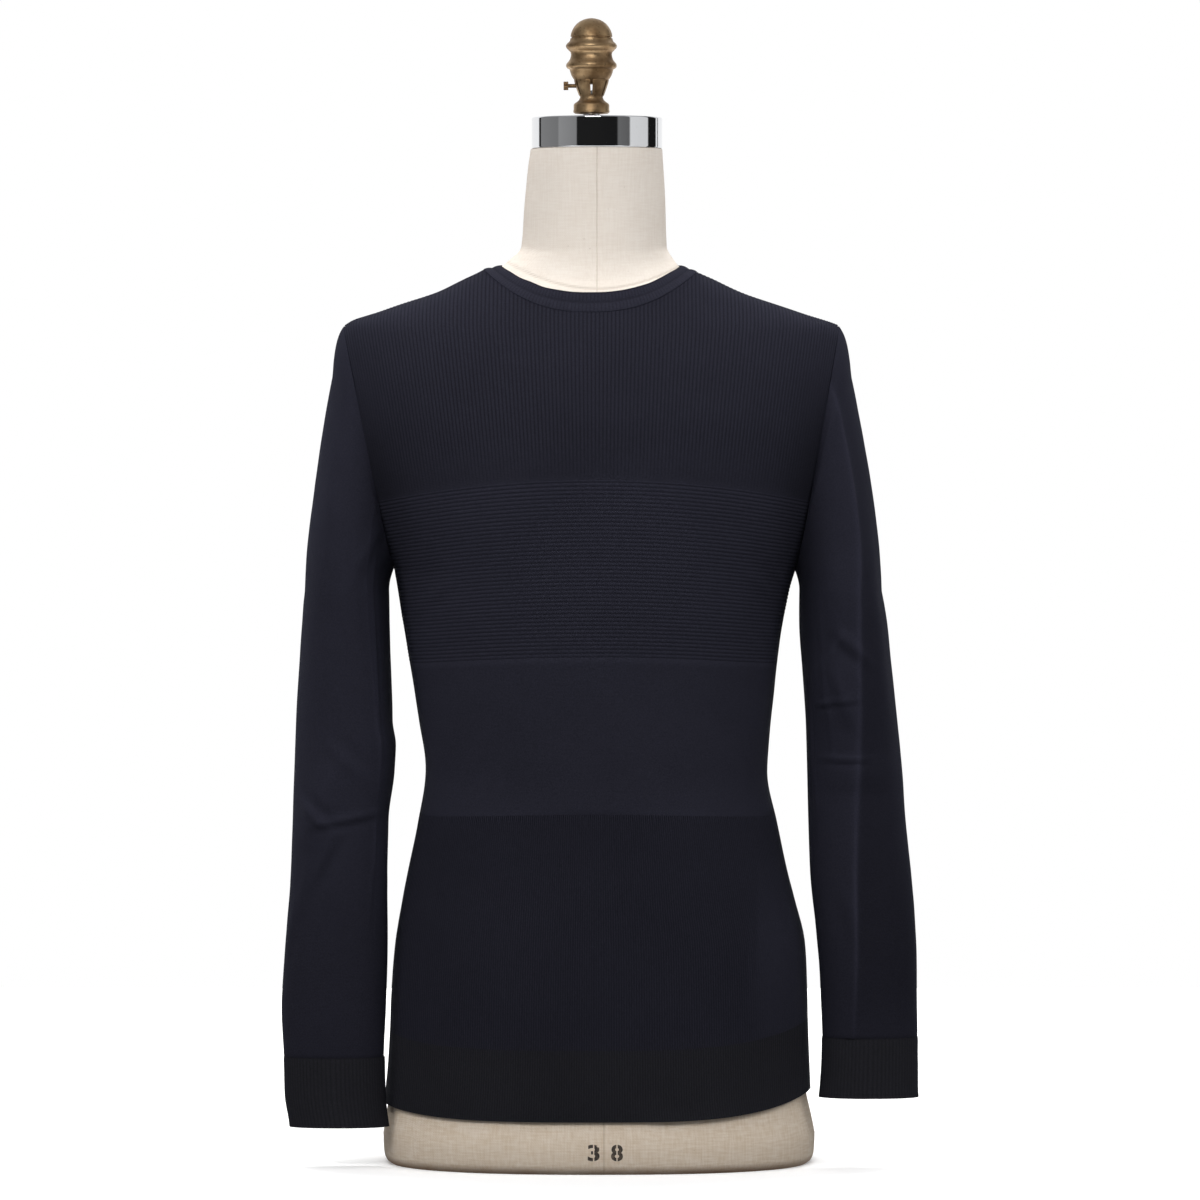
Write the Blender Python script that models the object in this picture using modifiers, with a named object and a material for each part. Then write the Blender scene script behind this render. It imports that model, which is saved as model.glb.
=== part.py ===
"""Crewneck sweater, worn by a limbless dress form.

Blender units are metres, +Z up. X runs to the viewer's right and Y away from the
viewer. The origin is the centre of the dress form's flat base. Tables and named
sizes below are in millimetres, and place() turns them into metres.

The sweater's outer surface is one smooth torso function: superellipse sections whose
half widths and depths come from short tables. The panels, the collar, the hem band
and the dress form are all worked out from it. The sleeves are lofted from the same
armhole ring that the panels end on.
"""

import bisect
import functools
import math
from collections import namedtuple

import bmesh
import bpy
from mathutils import Vector

MM = 0.001
SEAM_GAP = 0.3

# Cloth
WALL = 1.2
RIB_WALL = 1.8
RIB_PROUD = 0.3
RIB_HEIGHT = 0.5

# Torso surface
TORSO_POWER = 2.4
UNDERARM_Z = 487.0
SHOULDER_Z = 685.0
NORMAL_STEP = 0.05

Side = namedtuple("Side", "z left right")
SIDE_SEAMS = (
    Side(0, 175.0, 178.3),
    Side(25, 175.5, 178.8),
    Side(42, 176.0, 178.4),
    Side(61, 173.6, 175.2),
    Side(96, 170.6, 173.8),
    Side(137, 168.9, 172.6),
    Side(178, 165.6, 170.6),
    Side(219, 159.0, 161.0),
    Side(280, 146.8, 147.6),
    Side(321, 140.2, 139.4),
    Side(362, 146.0, 142.7),
    Side(424, 155.8, 149.6),
    Side(465, 162.4, 156.5),
    Side(487, 166.5, 163.0),
)
SHOULDER_LINE = (
    Side(685, 206.0, 197.0),
    Side(689, 200.0, 187.0),
    Side(694, 187.8, 173.8),
    Side(704, 159.0, 145.0),
    Side(713, 132.0, 119.0),
    Side(723, 110.7, 97.6),
    Side(733, 91.0, 76.0),
    Side(742, 80.0, 66.0),
)

Depth = namedtuple("Depth", "z front back middle")
DEPTHS = (
    Depth(0, 107, 124, 0),
    Depth(25, 108, 125, 0),
    Depth(61, 109, 126, 0),
    Depth(120, 109, 126, 0),
    Depth(178, 107, 123, 0),
    Depth(239, 105, 113, 0),
    Depth(300, 104, 103, 0),
    Depth(340, 107, 101, 0),
    Depth(400, 114, 104, 0),
    Depth(470, 121, 111, 0),
    Depth(556, 124, 117, 0),
    Depth(600, 119.5, 118, 0),
    Depth(640, 109, 114, 1.5),
    Depth(670, 95.5, 104, 4),
    Depth(685, 87, 97, 6),
    Depth(697, 79.5, 91, 7.5),
    Depth(711, 71.5, 83, 9.5),
    Depth(724, 63.5, 74, 11),
    Depth(735, 56, 66, 12),
    Depth(742, 53, 62, 12),
)

# Armhole: a rounded ring in an upright plane that leans out towards the shoulder
ARMHOLE_Z = (UNDERARM_Z + SHOULDER_Z) / 2
ARMHOLE_RISE = (SHOULDER_Z - UNDERARM_Z) / 2
ARMHOLE_DEPTH = 62.0
ARMHOLE_POWER = 2.2

# Knit zones of the front, from the top down, with the height at the centre front
# and how far each line drops at the sides
Zone = namedtuple("Zone", "z drop")
YOKE_LINE = Zone(561, 18)
BAND_LINE = Zone(418.5, 8)
WAIST_LINE = Zone(291, 5)
YOKE_RIBS = 40
BAND_RIBS = 20
LOWER_RIBS = 44
YOKE_ROWS = 10
PLAIN_ROWS = 3
LOWER_ROWS = 6
COLUMNS = 22
SIDE_BIAS = 2.0
SIDE_BIAS_POWER = 8
SPACING_SAMPLES = 600
TOP_COLUMN_GAP = 0.03
RIB_START = 2.0

# Hem line: height at the centre front, its rise at the sides and its tilt
HEM_Z = 43.0
HEM_RISE = 13.0
HEM_TILT = 5.0
HEM_BAND = 58.0
HEM_HALF_WIDTH = 173.0
HEM_ROWS = 2

# Neckline: where the collar is linked on, and its free upper edge
Neckline = namedtuple("Neckline", "centre half_width front_z back_z")
COLLAR_SEAM = Neckline(-5.5, 87.5, 696.0, 722.0)
COLLAR_EDGE = Neckline(-5.0, 74.0, 711.8, 741.0)
COLLAR_EDGE_SIDE_Z = 734.5
COLLAR_EDGE_FRONT = 73.5
COLLAR_EDGE_BACK = 68.0
COLLAR_EDGE_MIDDLE = 11.5
NECKLINE_POWER = 2.4
COLLAR_SEGMENTS = 48

# Collar from its seam to its free edge: how proud each row stands, with a groove
# halfway up, and whether the plain inner skin has a row there too
CollarRow = namedtuple("CollarRow", "t proud inner")
COLLAR_ROWS = (
    CollarRow(0.0, 0.0, True),
    CollarRow(0.28, 0.5, False),
    CollarRow(0.5, 0.0, True),
    CollarRow(0.75, 0.6, False),
    CollarRow(1.0, 0.0, True),
)

# Sleeves, as seen from in front: inner and outer edge from the centre plane, the
# middle's place along Y and the full depth. The right sleeve is the wearer's right.
Sleeve = namedtuple("Sleeve", "z inner outer middle depth")
SLEEVE_TOP_Z = 469.0
SLEEVE_RIGHT = (
    Sleeve(33, 170.5, 250.0, -42, 36),
    Sleeve(60, 173.0, 254.5, -41, 38),
    Sleeve(90, 173.7, 255.5, -39, 42),
    Sleeve(130, 172.0, 257.5, -34, 52),
    Sleeve(178, 171.0, 255.0, -27, 62),
    Sleeve(239, 171.5, 250.5, -19, 74),
    Sleeve(280, 171.0, 249.0, -14, 84),
    Sleeve(321, 166.0, 247.6, -9, 96),
    Sleeve(342, 165.0, 246.8, -7, 102),
    Sleeve(362, 168.0, 246.0, -5, 108),
    Sleeve(424, 169.7, 242.7, 0, 128),
    Sleeve(469, 170.6, 239.4, 2, 140),
)
SLEEVE_LEFT = (
    Sleeve(57, 182.0, 261.5, -41, 38),
    Sleeve(106, 184.0, 261.5, -36, 46),
    Sleeve(157, 182.8, 261.5, -30, 57),
    Sleeve(198, 179.8, 260.0, -25, 65),
    Sleeve(239, 176.0, 257.0, -19, 74),
    Sleeve(280, 174.5, 253.0, -14, 84),
    Sleeve(321, 173.5, 250.0, -9, 96),
    Sleeve(362, 172.5, 246.0, -5, 108),
    Sleeve(403, 170.0, 242.0, 0, 124),
    Sleeve(444, 167.3, 237.8, 2, 134),
    Sleeve(469, 167.3, 233.7, 2, 140),
)
SLEEVE_POWER = 2.2
SLEEVE_SEGMENTS = 20
SLEEVE_HEAD_STEPS = (0.0, 0.1, 0.22, 0.36, 0.5, 0.64, 0.78, 0.9)
SLEEVE_RINGS = 12
HEAD_START = 0.1
HEAD_LEAN = 0.35
HEAD_END = 0.42
CUFF_ROWS = 3

Arm = namedtuple("Arm", "side table cuff_seam cuff_end")
ARMS = {
    "right": Arm(-1, SLEEVE_RIGHT, 90.0, 33.0),
    "left": Arm(1, SLEEVE_LEFT, 106.0, 57.0),
}

# Largest folds. On the torso, place is X; on a sleeve it is the angle in degrees
# from the outer edge, 90 at the front. Lean moves the fold sideways for each
# millimetre of height.
Fold = namedtuple("Fold", "piece place low high width height lean")
FOLD_SOFTNESS = 1.2
FOLDS = (
    Fold("front", 127, 135, 235, 7, -1.6, 0.0),
    Fold("front", 150, 95, 240, 14, 2.0, 0.0),
    Fold("front", -118, 285, 420, 12, 1.6, 0.25),
    Fold("back", 70, 290, 430, 14, 2.2, -0.3),
    Fold("back", -85, 270, 400, 16, 2.4, 0.35),
    Fold("right", 128, 260, 470, 22, 3.6, 0.0),
    Fold("right", 66, 255, 335, 20, 3.2, 0.25),
    Fold("right", 215, 300, 420, 20, 3.4, -0.2),
    Fold("left", 56, 320, 560, 20, 4.4, 0.0),
    Fold("left", 118, 355, 430, 20, 3.4, 0.4),
    Fold("left", 90, 305, 340, 40, 2.4, 0.0),
    Fold("left", 240, 290, 430, 22, 3.4, 0.2),
)

# Dress form: its skin lies this far inside the sweater's outer surface. The gaps
# are taken off the widths and the depths, and the lift lowers the shoulders.
Ease = namedtuple("Ease", "z side depth lift")
FORM_EASE = (
    Ease(0, 0.0, 0.0, 0.0),
    Ease(25, 0.0, 0.0, 0.0),
    Ease(42, 3.6, 3.2, 0.0),
    Ease(61, 4.0, 3.6, 0.0),
    Ease(110, 4.6, 4.2, 0.0),
    Ease(590, 4.2, 4.5, 0.0),
    Ease(640, 3.2, 4.5, 1.2),
    Ease(685, 1.8, 4.0, 1.7),
    Ease(742, 1.8, 4.0, 1.7),
)
ARM_PLATE_INSET = 4.0
Neck = namedtuple("Neck", "z left right front back middle")
FORM_NECK = (
    Neck(714, 120, 107, 62, 74, 9.5),
    Neck(724, 91.0, 78.0, 57, 65, 11),
    Neck(735, 74.4, 63.6, 54.5, 59.5, 11.5),
    Neck(740, 68.5, 60.0, 53.8, 58, 11.3),
    Neck(748, 62.5, 57.5, 53, 56, 11),
    Neck(789, 59.0, 56.0, 52.5, 54, 9),
    Neck(818, 56.0, 54.3, 52.5, 53, 6.5),
    Neck(830.2, 54.2, 53.6, 52.5, 52.8, 5.5),
)
NECK_POWER = 2.1
FORM_SEGMENTS = 36
FORM_BODY_RINGS = (25, 42, 61, 110, 165, 219, 270, 320, 370, 425, 487, 510, 560, 610, 645,
                   668, 680, 687, 694, 704)
BASE_ROUND = ((0, 6.0), (2.5, 2.6), (7, 0.7), (14, 0.0))

# Fittings on the neck
CAP_Y = 5.0
CAP_RADIUS = 53.5
CAP_BOTTOM = 830.5
CAP_TOP = 856.0
CAP_EDGE = 1.2
POLE_X = -4.5
POLE_RADIUS = 7.0
POLE_BORE = 7.3
POLE_SUNK = 12.0
POLE_TOP = 878.0
Turned = namedtuple("Turned", "radius z")
FINIAL_PROFILE = (
    Turned(0, 938.0),
    Turned(5, 937.2),
    Turned(10.7, 934.4),
    Turned(14.6, 930.6),
    Turned(16.8, 926.4),
    Turned(17.7, 921.4),
    Turned(17.9, 919.6),
    Turned(21.0, 916.6),
    Turned(21.3, 914.4),
    Turned(18.9, 911.2),
    Turned(17.9, 908.4),
    Turned(18.6, 904.4),
    Turned(20.6, 901.6),
    Turned(21.2, 899.0),
    Turned(20.0, 896.4),
    Turned(18.3, 895.2),
    Turned(17.2, 891.0),
    Turned(14.6, 886.6),
    Turned(11.0, 883.2),
    Turned(0, 883.2),
)
CLAMP_PROFILE = (
    Turned(POLE_BORE, 882.9),
    Turned(12.6, 882.9),
    Turned(11.9, 875.4),
    Turned(10.5, 873.8),
    Turned(10.6, 871.8),
    Turned(14.2, 866.6),
    Turned(15.2, 865.2),
    Turned(15.2, 861.2),
    Turned(12.6, 858.8),
    Turned(POLE_BORE, 858.8),
)
CLAMP_SLITS = 6
SLIT_WIDTH = 1.4
SLIT_BOTTOM = 874.5
TURN_STEPS = 20
SCREW_Z = 880.0
SCREW_SHAFT = Turned(1.7, 7.2)
SCREW_HEAD = Turned(3.7, 4.1)
SCREW_KNURLS = 10

Finish = namedtuple("Finish", "colour roughness metallic")
FINISHES = {
    "navy_knit": Finish((0.014, 0.014, 0.024), 0.9, 0.0),
    "navy_rib": Finish((0.011, 0.011, 0.018), 0.9, 0.0),
    "cream_canvas": Finish((0.78, 0.72, 0.64), 0.85, 0.0),
    "chrome": Finish((0.80, 0.81, 0.83), 0.08, 1.0),
    "steel": Finish((0.62, 0.63, 0.65), 0.25, 1.0),
    "aged_brass": Finish((0.36, 0.24, 0.11), 0.42, 1.0),
}


# Reading the tables

def smooth_value(places, values, place):
    """Value at a place on a smooth curve through the points that never overshoots."""
    place = min(max(place, places[0]), places[-1])
    last = len(places) - 1
    i = min(bisect.bisect_right(places, place) - 1, last - 1)

    def chord(j):
        return (values[j + 1] - values[j]) / (places[j + 1] - places[j])

    def tangent(j):
        if j in (0, last):
            return chord(min(j, last - 1))
        before, after = chord(j - 1), chord(j)
        if before * after <= 0:
            return 0.0
        return 2 * before * after / (before + after)

    step = places[i + 1] - places[i]
    t = (place - places[i]) / step
    start = (1 + 2 * t) * (1 - t) ** 2 * values[i]
    end = t * t * (3 - 2 * t) * values[i + 1]
    bend = t * (1 - t) * step * ((1 - t) * tangent(i) - t * tangent(i + 1))
    return start + end + bend


@functools.lru_cache(maxsize=None)
def read(table, z):
    """Row of a table at height z, with every column read on its smooth curve."""
    heights = [row.z for row in table]
    values = [smooth_value(heights, list(column), z) for column in list(zip(*table))[1:]]
    return type(table[0])(z, *values)


def superellipse(angle, power):
    """Cosine and sine of a rounded outline that is fuller than a circle."""
    c, s = math.cos(angle), math.sin(angle)
    return (math.copysign(abs(c) ** (2 / power), c),
            math.copysign(abs(s) ** (2 / power), s))


def window(value, low, high):
    """Soft hump that is 1 in the middle of a range and 0 at its ends."""
    if not low < value < high:
        return 0.0
    return math.sin(math.pi * (value - low) / (high - low)) ** FOLD_SOFTNESS


def fold_lift(piece, place, z):
    """How far the largest folds of a piece stand out of its plain surface."""
    lift = 0.0
    for fold in FOLDS:
        if fold.piece == piece:
            centre = fold.place + fold.lean * (z - (fold.low + fold.high) / 2)
            across = math.exp(-((place - centre) / fold.width) ** 2)
            lift += fold.height * across * window(z, fold.low, fold.high)
    return lift


# Torso surface

def edge_width(side, z):
    """Half width at a panel's edge: side seam, straight armhole, then shoulder."""
    column = 1 if side < 0 else 2
    if z <= UNDERARM_Z:
        return read(SIDE_SEAMS, z)[column]
    if z >= SHOULDER_Z:
        return read(SHOULDER_LINE, z)[column]
    t = (z - UNDERARM_Z) / (SHOULDER_Z - UNDERARM_Z)
    low, high = SIDE_SEAMS[-1][column], SHOULDER_LINE[0][column]
    return low + (high - low) * t


def armhole_depth(z):
    """How far in front of or behind its middle the armhole's edge lies at height z."""
    t = abs(z - ARMHOLE_Z) / ARMHOLE_RISE
    if t >= 1:
        return 0.0
    return ARMHOLE_DEPTH * (1 - t ** ARMHOLE_POWER) ** (1 / ARMHOLE_POWER)


def torso_radii(side, face, z):
    """Half width and depth of the superellipse section on one side and one face."""
    depths = read(DEPTHS, z)
    depth = depths.front if face < 0 else depths.back
    filled = 1 - (armhole_depth(z) / depth) ** TORSO_POWER
    return edge_width(side, z) / filled ** (1 / TORSO_POWER), depth


def torso_level(x, y, z):
    """Implicit torso surface: 1 on it, more outside."""
    middle = read(DEPTHS, z).middle
    width, depth = torso_radii(x, y - middle, z)
    return (abs(x) / width) ** TORSO_POWER + (abs(y - middle) / depth) ** TORSO_POWER


def torso_normal(point):
    """Outward direction of the torso surface."""
    h = NORMAL_STEP
    x, y, z = point
    return Vector((
        torso_level(x + h, y, z) - torso_level(x - h, y, z),
        torso_level(x, y + h, z) - torso_level(x, y - h, z),
        torso_level(x, y, z + h) - torso_level(x, y, z - h),
    )).normalized()


def torso_point(x, face, z, seam=SEAM_GAP / 2):
    """Point of the torso surface, kept half a seam gap off the seam plane."""
    middle = read(DEPTHS, z).middle
    width, depth = torso_radii(x, face, z)
    level = min(abs(x) / width, 1.0) ** TORSO_POWER
    fullness = (1 - level) ** (1 / TORSO_POWER)
    return Vector((x, middle + face * (seam + (depth - seam) * fullness), z))


def column_x(u, z):
    """X of a panel's column. Above the shoulder point the columns run straight up."""
    return u * edge_width(u, min(z, SHOULDER_Z))


def shoulder_z(x):
    """Height of the shoulder seam above a place X."""
    low, high = SHOULDER_Z, SHOULDER_LINE[-1].z
    for _ in range(40):
        z = (low + high) / 2
        if edge_width(x, z) > abs(x):
            low = z
        else:
            high = z
    return low


@functools.lru_cache(maxsize=None)
def collar_seam_side_z(side):
    """Height at which the collar's seam meets the shoulder seam on one side."""
    return shoulder_z(COLLAR_SEAM.centre + side * COLLAR_SEAM.half_width)


def neckline_z(line, x, face, side_z):
    """Height of a neckline above a place X, between its centre and its side."""
    centre_z = line.front_z if face < 0 else line.back_z
    t = min(abs(x - line.centre) / line.half_width, 1.0)
    return centre_z + (side_z - centre_z) * t ** NECKLINE_POWER


def collar_seam_z(x, face):
    side = math.copysign(1, x - COLLAR_SEAM.centre)
    return neckline_z(COLLAR_SEAM, x, face, collar_seam_side_z(side))


def column_top(u, face):
    """Height at which a panel's column ends: at the neckline or the shoulder seam."""
    x = column_x(u, SHOULDER_Z)
    if abs(x - COLLAR_SEAM.centre) < COLLAR_SEAM.half_width:
        return collar_seam_z(x, face)
    return shoulder_z(x)


def hem_z(x):
    """Height of the sweater's lower edge at a place X."""
    t = x / HEM_HALF_WIDTH
    return HEM_Z + HEM_RISE * t ** 4 + HEM_TILT * t ** 3


# Panel columns and rows

def even_columns(count, bias=0.0):
    """Places from -1 to 1 that are evenly spaced along the cloth at chest height.

    A bias sets them closer where the section turns at the sides.
    """
    samples = SPACING_SAMPLES
    places = [math.sin(math.pi * (i / samples - 0.5)) for i in range(samples + 1)]
    points = [torso_point(column_x(u, YOKE_LINE.z), -1, YOKE_LINE.z) for u in places]
    lengths = [0.0]
    for a, b, u in zip(points, points[1:], places):
        lengths.append(lengths[-1] + (b - a).length * (1 + bias * abs(u) ** SIDE_BIAS_POWER))
    columns = []
    for i in range(count + 1):
        target = lengths[-1] * i / count
        j = min(max(bisect.bisect_left(lengths, target), 1), samples)
        t = (target - lengths[j - 1]) / (lengths[j] - lengths[j - 1])
        columns.append(places[j - 1] + (places[j] - places[j - 1]) * t)
    return columns


def top_columns(columns):
    """Columns for a panel's top edge: the collar's own points, then the shoulders."""
    half = COLLAR_SEGMENTS // 2
    places = []
    for i in range(half + 1):
        x = COLLAR_SEAM.centre - COLLAR_SEAM.half_width * math.cos(math.pi * i / half)
        places.append(x / edge_width(x, SHOULDER_Z))
    left = [u for u in columns if u < places[0] - TOP_COLUMN_GAP]
    right = [u for u in columns if u > places[-1] + TOP_COLUMN_GAP]
    return left + places + right


def zone_z(zone, u):
    return zone.z - zone.drop * u * u


def panel_row(piece, face, columns, height, rib, skin):
    """One row of a panel's skin, as (place, point) pairs.

    height(u) gives the row's height, rib(i) how high the knit stands at column i,
    and skin how far the row lies under the outer surface.
    """
    row = []
    for i, u in enumerate(columns):
        z = height(u)
        point = torso_point(column_x(u, z), face, z)
        out = torso_normal(point)
        stitch = rib(i) if 0 < i < len(columns) - 1 else 0.0
        lift = fold_lift(piece, point.x, z) + stitch - skin
        row.append((u, point + out * lift))
    return row


def flat(_):
    return 0.0


def ridge(i):
    """Ribs run along the columns: every second column is a ridge."""
    return RIB_HEIGHT if i % 2 else 0.0


def rows_between(start, end, count, ease=None):
    """Height functions for rows between two lines, the last line left out."""
    ease = ease or (lambda t: t)
    lines = []
    for i in range(count):
        t = ease(i / count)
        lines.append(lambda u, t=t: start(u) + (end(u) - start(u)) * t)
    return lines


def zone_lines(face):
    """The lines between a panel's zones, from the hem band up."""
    def bottom(u):
        x = column_x(u, HEM_Z + HEM_BAND)
        return hem_z(x) + HEM_BAND + SEAM_GAP

    waist = functools.partial(zone_z, WAIST_LINE)
    band = functools.partial(zone_z, BAND_LINE)
    yoke = functools.partial(zone_z, YOKE_LINE)
    return bottom, waist, band, yoke, functools.partial(column_top, face=face)


def quarter_sine(t):
    return math.sin(t * math.pi / 2)


def skin_rows(piece, face, skin):
    """Plain rows of a panel's skin, from the hem band up to its top edge."""
    columns = even_columns(COLUMNS, SIDE_BIAS)
    bottom, waist, band, yoke, top = zone_lines(face)
    lines = rows_between(bottom, waist, LOWER_ROWS)
    lines += rows_between(waist, band, PLAIN_ROWS)
    lines += rows_between(band, yoke, PLAIN_ROWS)
    lines += rows_between(yoke, top, YOKE_ROWS, quarter_sine)
    rows = [panel_row(piece, face, columns, line, flat, skin) for line in lines[:-1]]
    for line in (lines[-1], top):
        rows.append(panel_row(piece, face, top_columns(columns), line, flat, skin))
    return rows


def ribbed_rows(piece, face):
    """Rows of the front's outer skin, with the ribs of its three ribbed zones."""
    columns = even_columns(COLUMNS, SIDE_BIAS)
    bottom, waist, band, yoke, top = zone_lines(face)
    rows = [panel_row(piece, face, columns, bottom, flat, 0.0)]
    lower_columns = even_columns(2 * LOWER_RIBS)

    def rib_start(u):
        return bottom(u) + RIB_START

    for line in rows_between(rib_start, waist, LOWER_ROWS) + [waist]:
        rows.append(panel_row(piece, face, lower_columns, line, ridge, 0.0))
    for line in rows_between(waist, band, PLAIN_ROWS)[1:]:
        rows.append(panel_row(piece, face, columns, line, flat, 0.0))
    for i, line in enumerate(rows_between(band, yoke, 2 * BAND_RIBS)):
        rows.append(panel_row(piece, face, columns, line, lambda _, i=i: ridge(i), 0.0))
    yoke_columns = even_columns(2 * YOKE_RIBS)
    lines = rows_between(yoke, top, YOKE_ROWS, quarter_sine)
    for line in lines[:-1]:
        rows.append(panel_row(piece, face, yoke_columns, line, ridge, 0.0))
    for line in (lines[-1], top):
        rows.append(panel_row(piece, face, top_columns(columns), line, flat, 0.0))
    return rows


# Meshes

def place(point):
    return Vector(point) * MM


def zip_rows(bm, lower, upper):
    """Join two rows of (place, vertex) with triangles, whatever their counts."""
    i = j = 0
    while i < len(lower) - 1 or j < len(upper) - 1:
        if j == len(upper) - 1:
            step_lower = True
        elif i == len(lower) - 1:
            step_lower = False
        else:
            step_lower = (lower[i][0] + lower[i + 1][0]) <= (upper[j][0] + upper[j + 1][0])
        if step_lower:
            bm.faces.new((lower[i][1], lower[i + 1][1], upper[j][1]))
            i += 1
        else:
            bm.faces.new((lower[i][1], upper[j + 1][1], upper[j][1]))
            j += 1


def add_object(name, bm, finish, sharp_degrees=35):
    """Finish a closed mesh as a named object in the part's collection."""
    bmesh.ops.recalc_face_normals(bm, faces=bm.faces)
    if bm.calc_volume(signed=True) < 0:
        bmesh.ops.reverse_faces(bm, faces=bm.faces)
    mesh = bpy.data.meshes.new(name)
    bm.to_mesh(mesh)
    bm.free()
    mesh.shade_smooth()
    mesh.set_sharp_from_angle(angle=math.radians(sharp_degrees))
    mesh.materials.append(MATERIALS[finish])
    obj = bpy.data.objects.new(name, mesh)
    PARTS.objects.link(obj)
    return obj


def build_wall(name, outer, inner, finish, closed):
    """Cloth wall from the rows of its two skins. A closed row goes all round."""
    bm = bmesh.new()
    skins = []
    for rows in (outer, inner):
        skin = [[(t, bm.verts.new(place(point))) for t, point in row] for row in rows]
        if closed:
            skin = [row + [(row[0][0] + 1, row[0][1])] for row in skin]
        skins.append(skin)
    for skin in skins:
        for lower, upper in zip(skin, skin[1:]):
            zip_rows(bm, lower, upper)
    for end in (0, -1):
        zip_rows(bm, skins[0][end], skins[1][end])
        if not closed:
            edges = [[(row[end][1].co.z, row[end][1]) for row in skin] for skin in skins]
            zip_rows(bm, *edges)
    return add_object(name, bm, finish)


def ring_row(points):
    """Give the points of a closed ring their places from 0 to 1."""
    return [(i / len(points), point) for i, point in enumerate(points)]


def inset_rings(rings, thickness, rims):
    """Rings of a tube's inner skin. At its two ends, rims are the directions in which
    the wall must not reach past its outer edge."""
    inner = []
    for i, ring in enumerate(rings):
        above, below = rings[max(i - 1, 0)], rings[min(i + 1, len(rings) - 1)]
        points = []
        for j, point in enumerate(ring):
            along = below[j] - above[j]
            around = ring[(j + 1) % len(ring)] - ring[j - 1]
            out = along.cross(around).normalized()
            centre = sum(ring, Vector()) / len(ring)
            if out.dot(point - centre) < 0:
                out = -out
            rim = rims.get(i - len(rings) if i == len(rings) - 1 else i)
            if rim is not None:
                out = out + rim * max(0.0, -out.dot(rim))
                out.normalize()
            points.append(point - out * thickness)
        inner.append(points)
    return inner


# Sweater pieces

def build_front():
    outer = ribbed_rows("front", -1)
    inner = skin_rows("front", -1, WALL)
    return build_wall("front", outer, inner, "navy_knit", closed=False)


def build_back():
    outer = skin_rows("back", 1, 0.0)
    inner = skin_rows("back", 1, WALL)
    return build_wall("back", outer, inner, "navy_knit", closed=False)


def build_hem_band():
    """Ribbed band around the lower edge, one tube."""
    columns = even_columns(COLUMNS, SIDE_BIAS)
    places = [(u, -1) for u in columns[:-1]] + [(u, 1) for u in columns[:0:-1]]
    outer, inner = [], []
    for i in range(HEM_ROWS + 1):
        rise = HEM_BAND * i / HEM_ROWS
        outer_ring, inner_ring = [], []
        for u, face in places:
            z = hem_z(column_x(u, HEM_Z + HEM_BAND)) + rise
            point = torso_point(column_x(u, z), face, z, seam=0.0)
            out = torso_normal(point)
            outer_ring.append(point + out * RIB_PROUD)
            inner_ring.append(point + out * (RIB_PROUD - RIB_WALL))
        outer.append(ring_row(outer_ring))
        inner.append(ring_row(inner_ring))
    return build_wall("hem_band", outer, inner, "navy_rib", closed=True)


def collar_seam_point(angle):
    """Point of the panels' neckline, on the torso surface."""
    x = COLLAR_SEAM.centre + COLLAR_SEAM.half_width * math.cos(angle)
    face = -1 if math.sin(angle) < 0 else 1
    z = collar_seam_z(x, face)
    return torso_point(x, face, z, seam=0.0)


def collar_edge_point(angle):
    """Point of the collar's free upper edge."""
    c, s = superellipse(angle, NECK_POWER)
    x = COLLAR_EDGE.centre + COLLAR_EDGE.half_width * c
    face = -1 if s < 0 else 1
    depth = COLLAR_EDGE_FRONT if s < 0 else COLLAR_EDGE_BACK
    z = neckline_z(COLLAR_EDGE, x, face, COLLAR_EDGE_SIDE_Z)
    return Vector((x, COLLAR_EDGE_MIDDLE + depth * s, z))


def build_collar():
    """Ribbed neck band with a seam groove halfway up."""
    angles = [2 * math.pi * i / COLLAR_SEGMENTS for i in range(COLLAR_SEGMENTS)]
    seam = [collar_seam_point(angle) for angle in angles]
    edge = [collar_edge_point(angle) for angle in angles]
    out = [torso_normal(point) for point in seam]
    outer, inner = [], []
    for t, proud, has_inner in COLLAR_ROWS:
        outer_ring, inner_ring = [], []
        for a, b, n in zip(seam, edge, out):
            rise = (b - a).normalized() * SEAM_GAP
            point = a + rise + (b - a - rise) * t
            outer_ring.append(point + n * (RIB_PROUD + proud))
            inner_ring.append(point + n * (RIB_PROUD - RIB_WALL))
        outer.append(ring_row(outer_ring))
        if has_inner:
            inner.append(ring_row(inner_ring))
    return build_wall("collar", outer, inner, "navy_rib", closed=True)


def armhole_point(arm, angle):
    """Point of the sleeve's first ring, one seam gap off the panels' armhole edge."""
    c, s = superellipse(angle, ARMHOLE_POWER)
    z = ARMHOLE_Z + ARMHOLE_RISE * c
    x = arm.side * (edge_width(arm.side, z) + SEAM_GAP)
    return Vector((x, read(DEPTHS, z).middle - ARMHOLE_DEPTH * s, z))


def sleeve_point(arm, angle, z, proud=0.0):
    """Point of a level sleeve section."""
    row = read(arm.table, z)
    c, s = superellipse(angle, SLEEVE_POWER)
    half_width, half_depth = (row.outer - row.inner) / 2 + proud, row.depth / 2 + proud
    x = arm.side * ((row.outer + row.inner) / 2 + half_width * c)
    return Vector((x, row.middle - half_depth * s, z))


def sleeve_head_point(arm, angle, t):
    """Point between the armhole ring and the first level section, on a cubic curve."""
    start, end = armhole_point(arm, angle), sleeve_point(arm, angle, SLEEVE_TOP_Z)
    length = (end - start).length
    leave = start + Vector((arm.side * HEAD_LEAN, 0, -1)) * (length * HEAD_START)
    arrive = end + Vector((0, 0, length * HEAD_END))
    return (start * (1 - t) ** 3 + leave * (3 * t * (1 - t) ** 2)
            + arrive * (3 * t * t * (1 - t)) + end * t ** 3)


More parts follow.
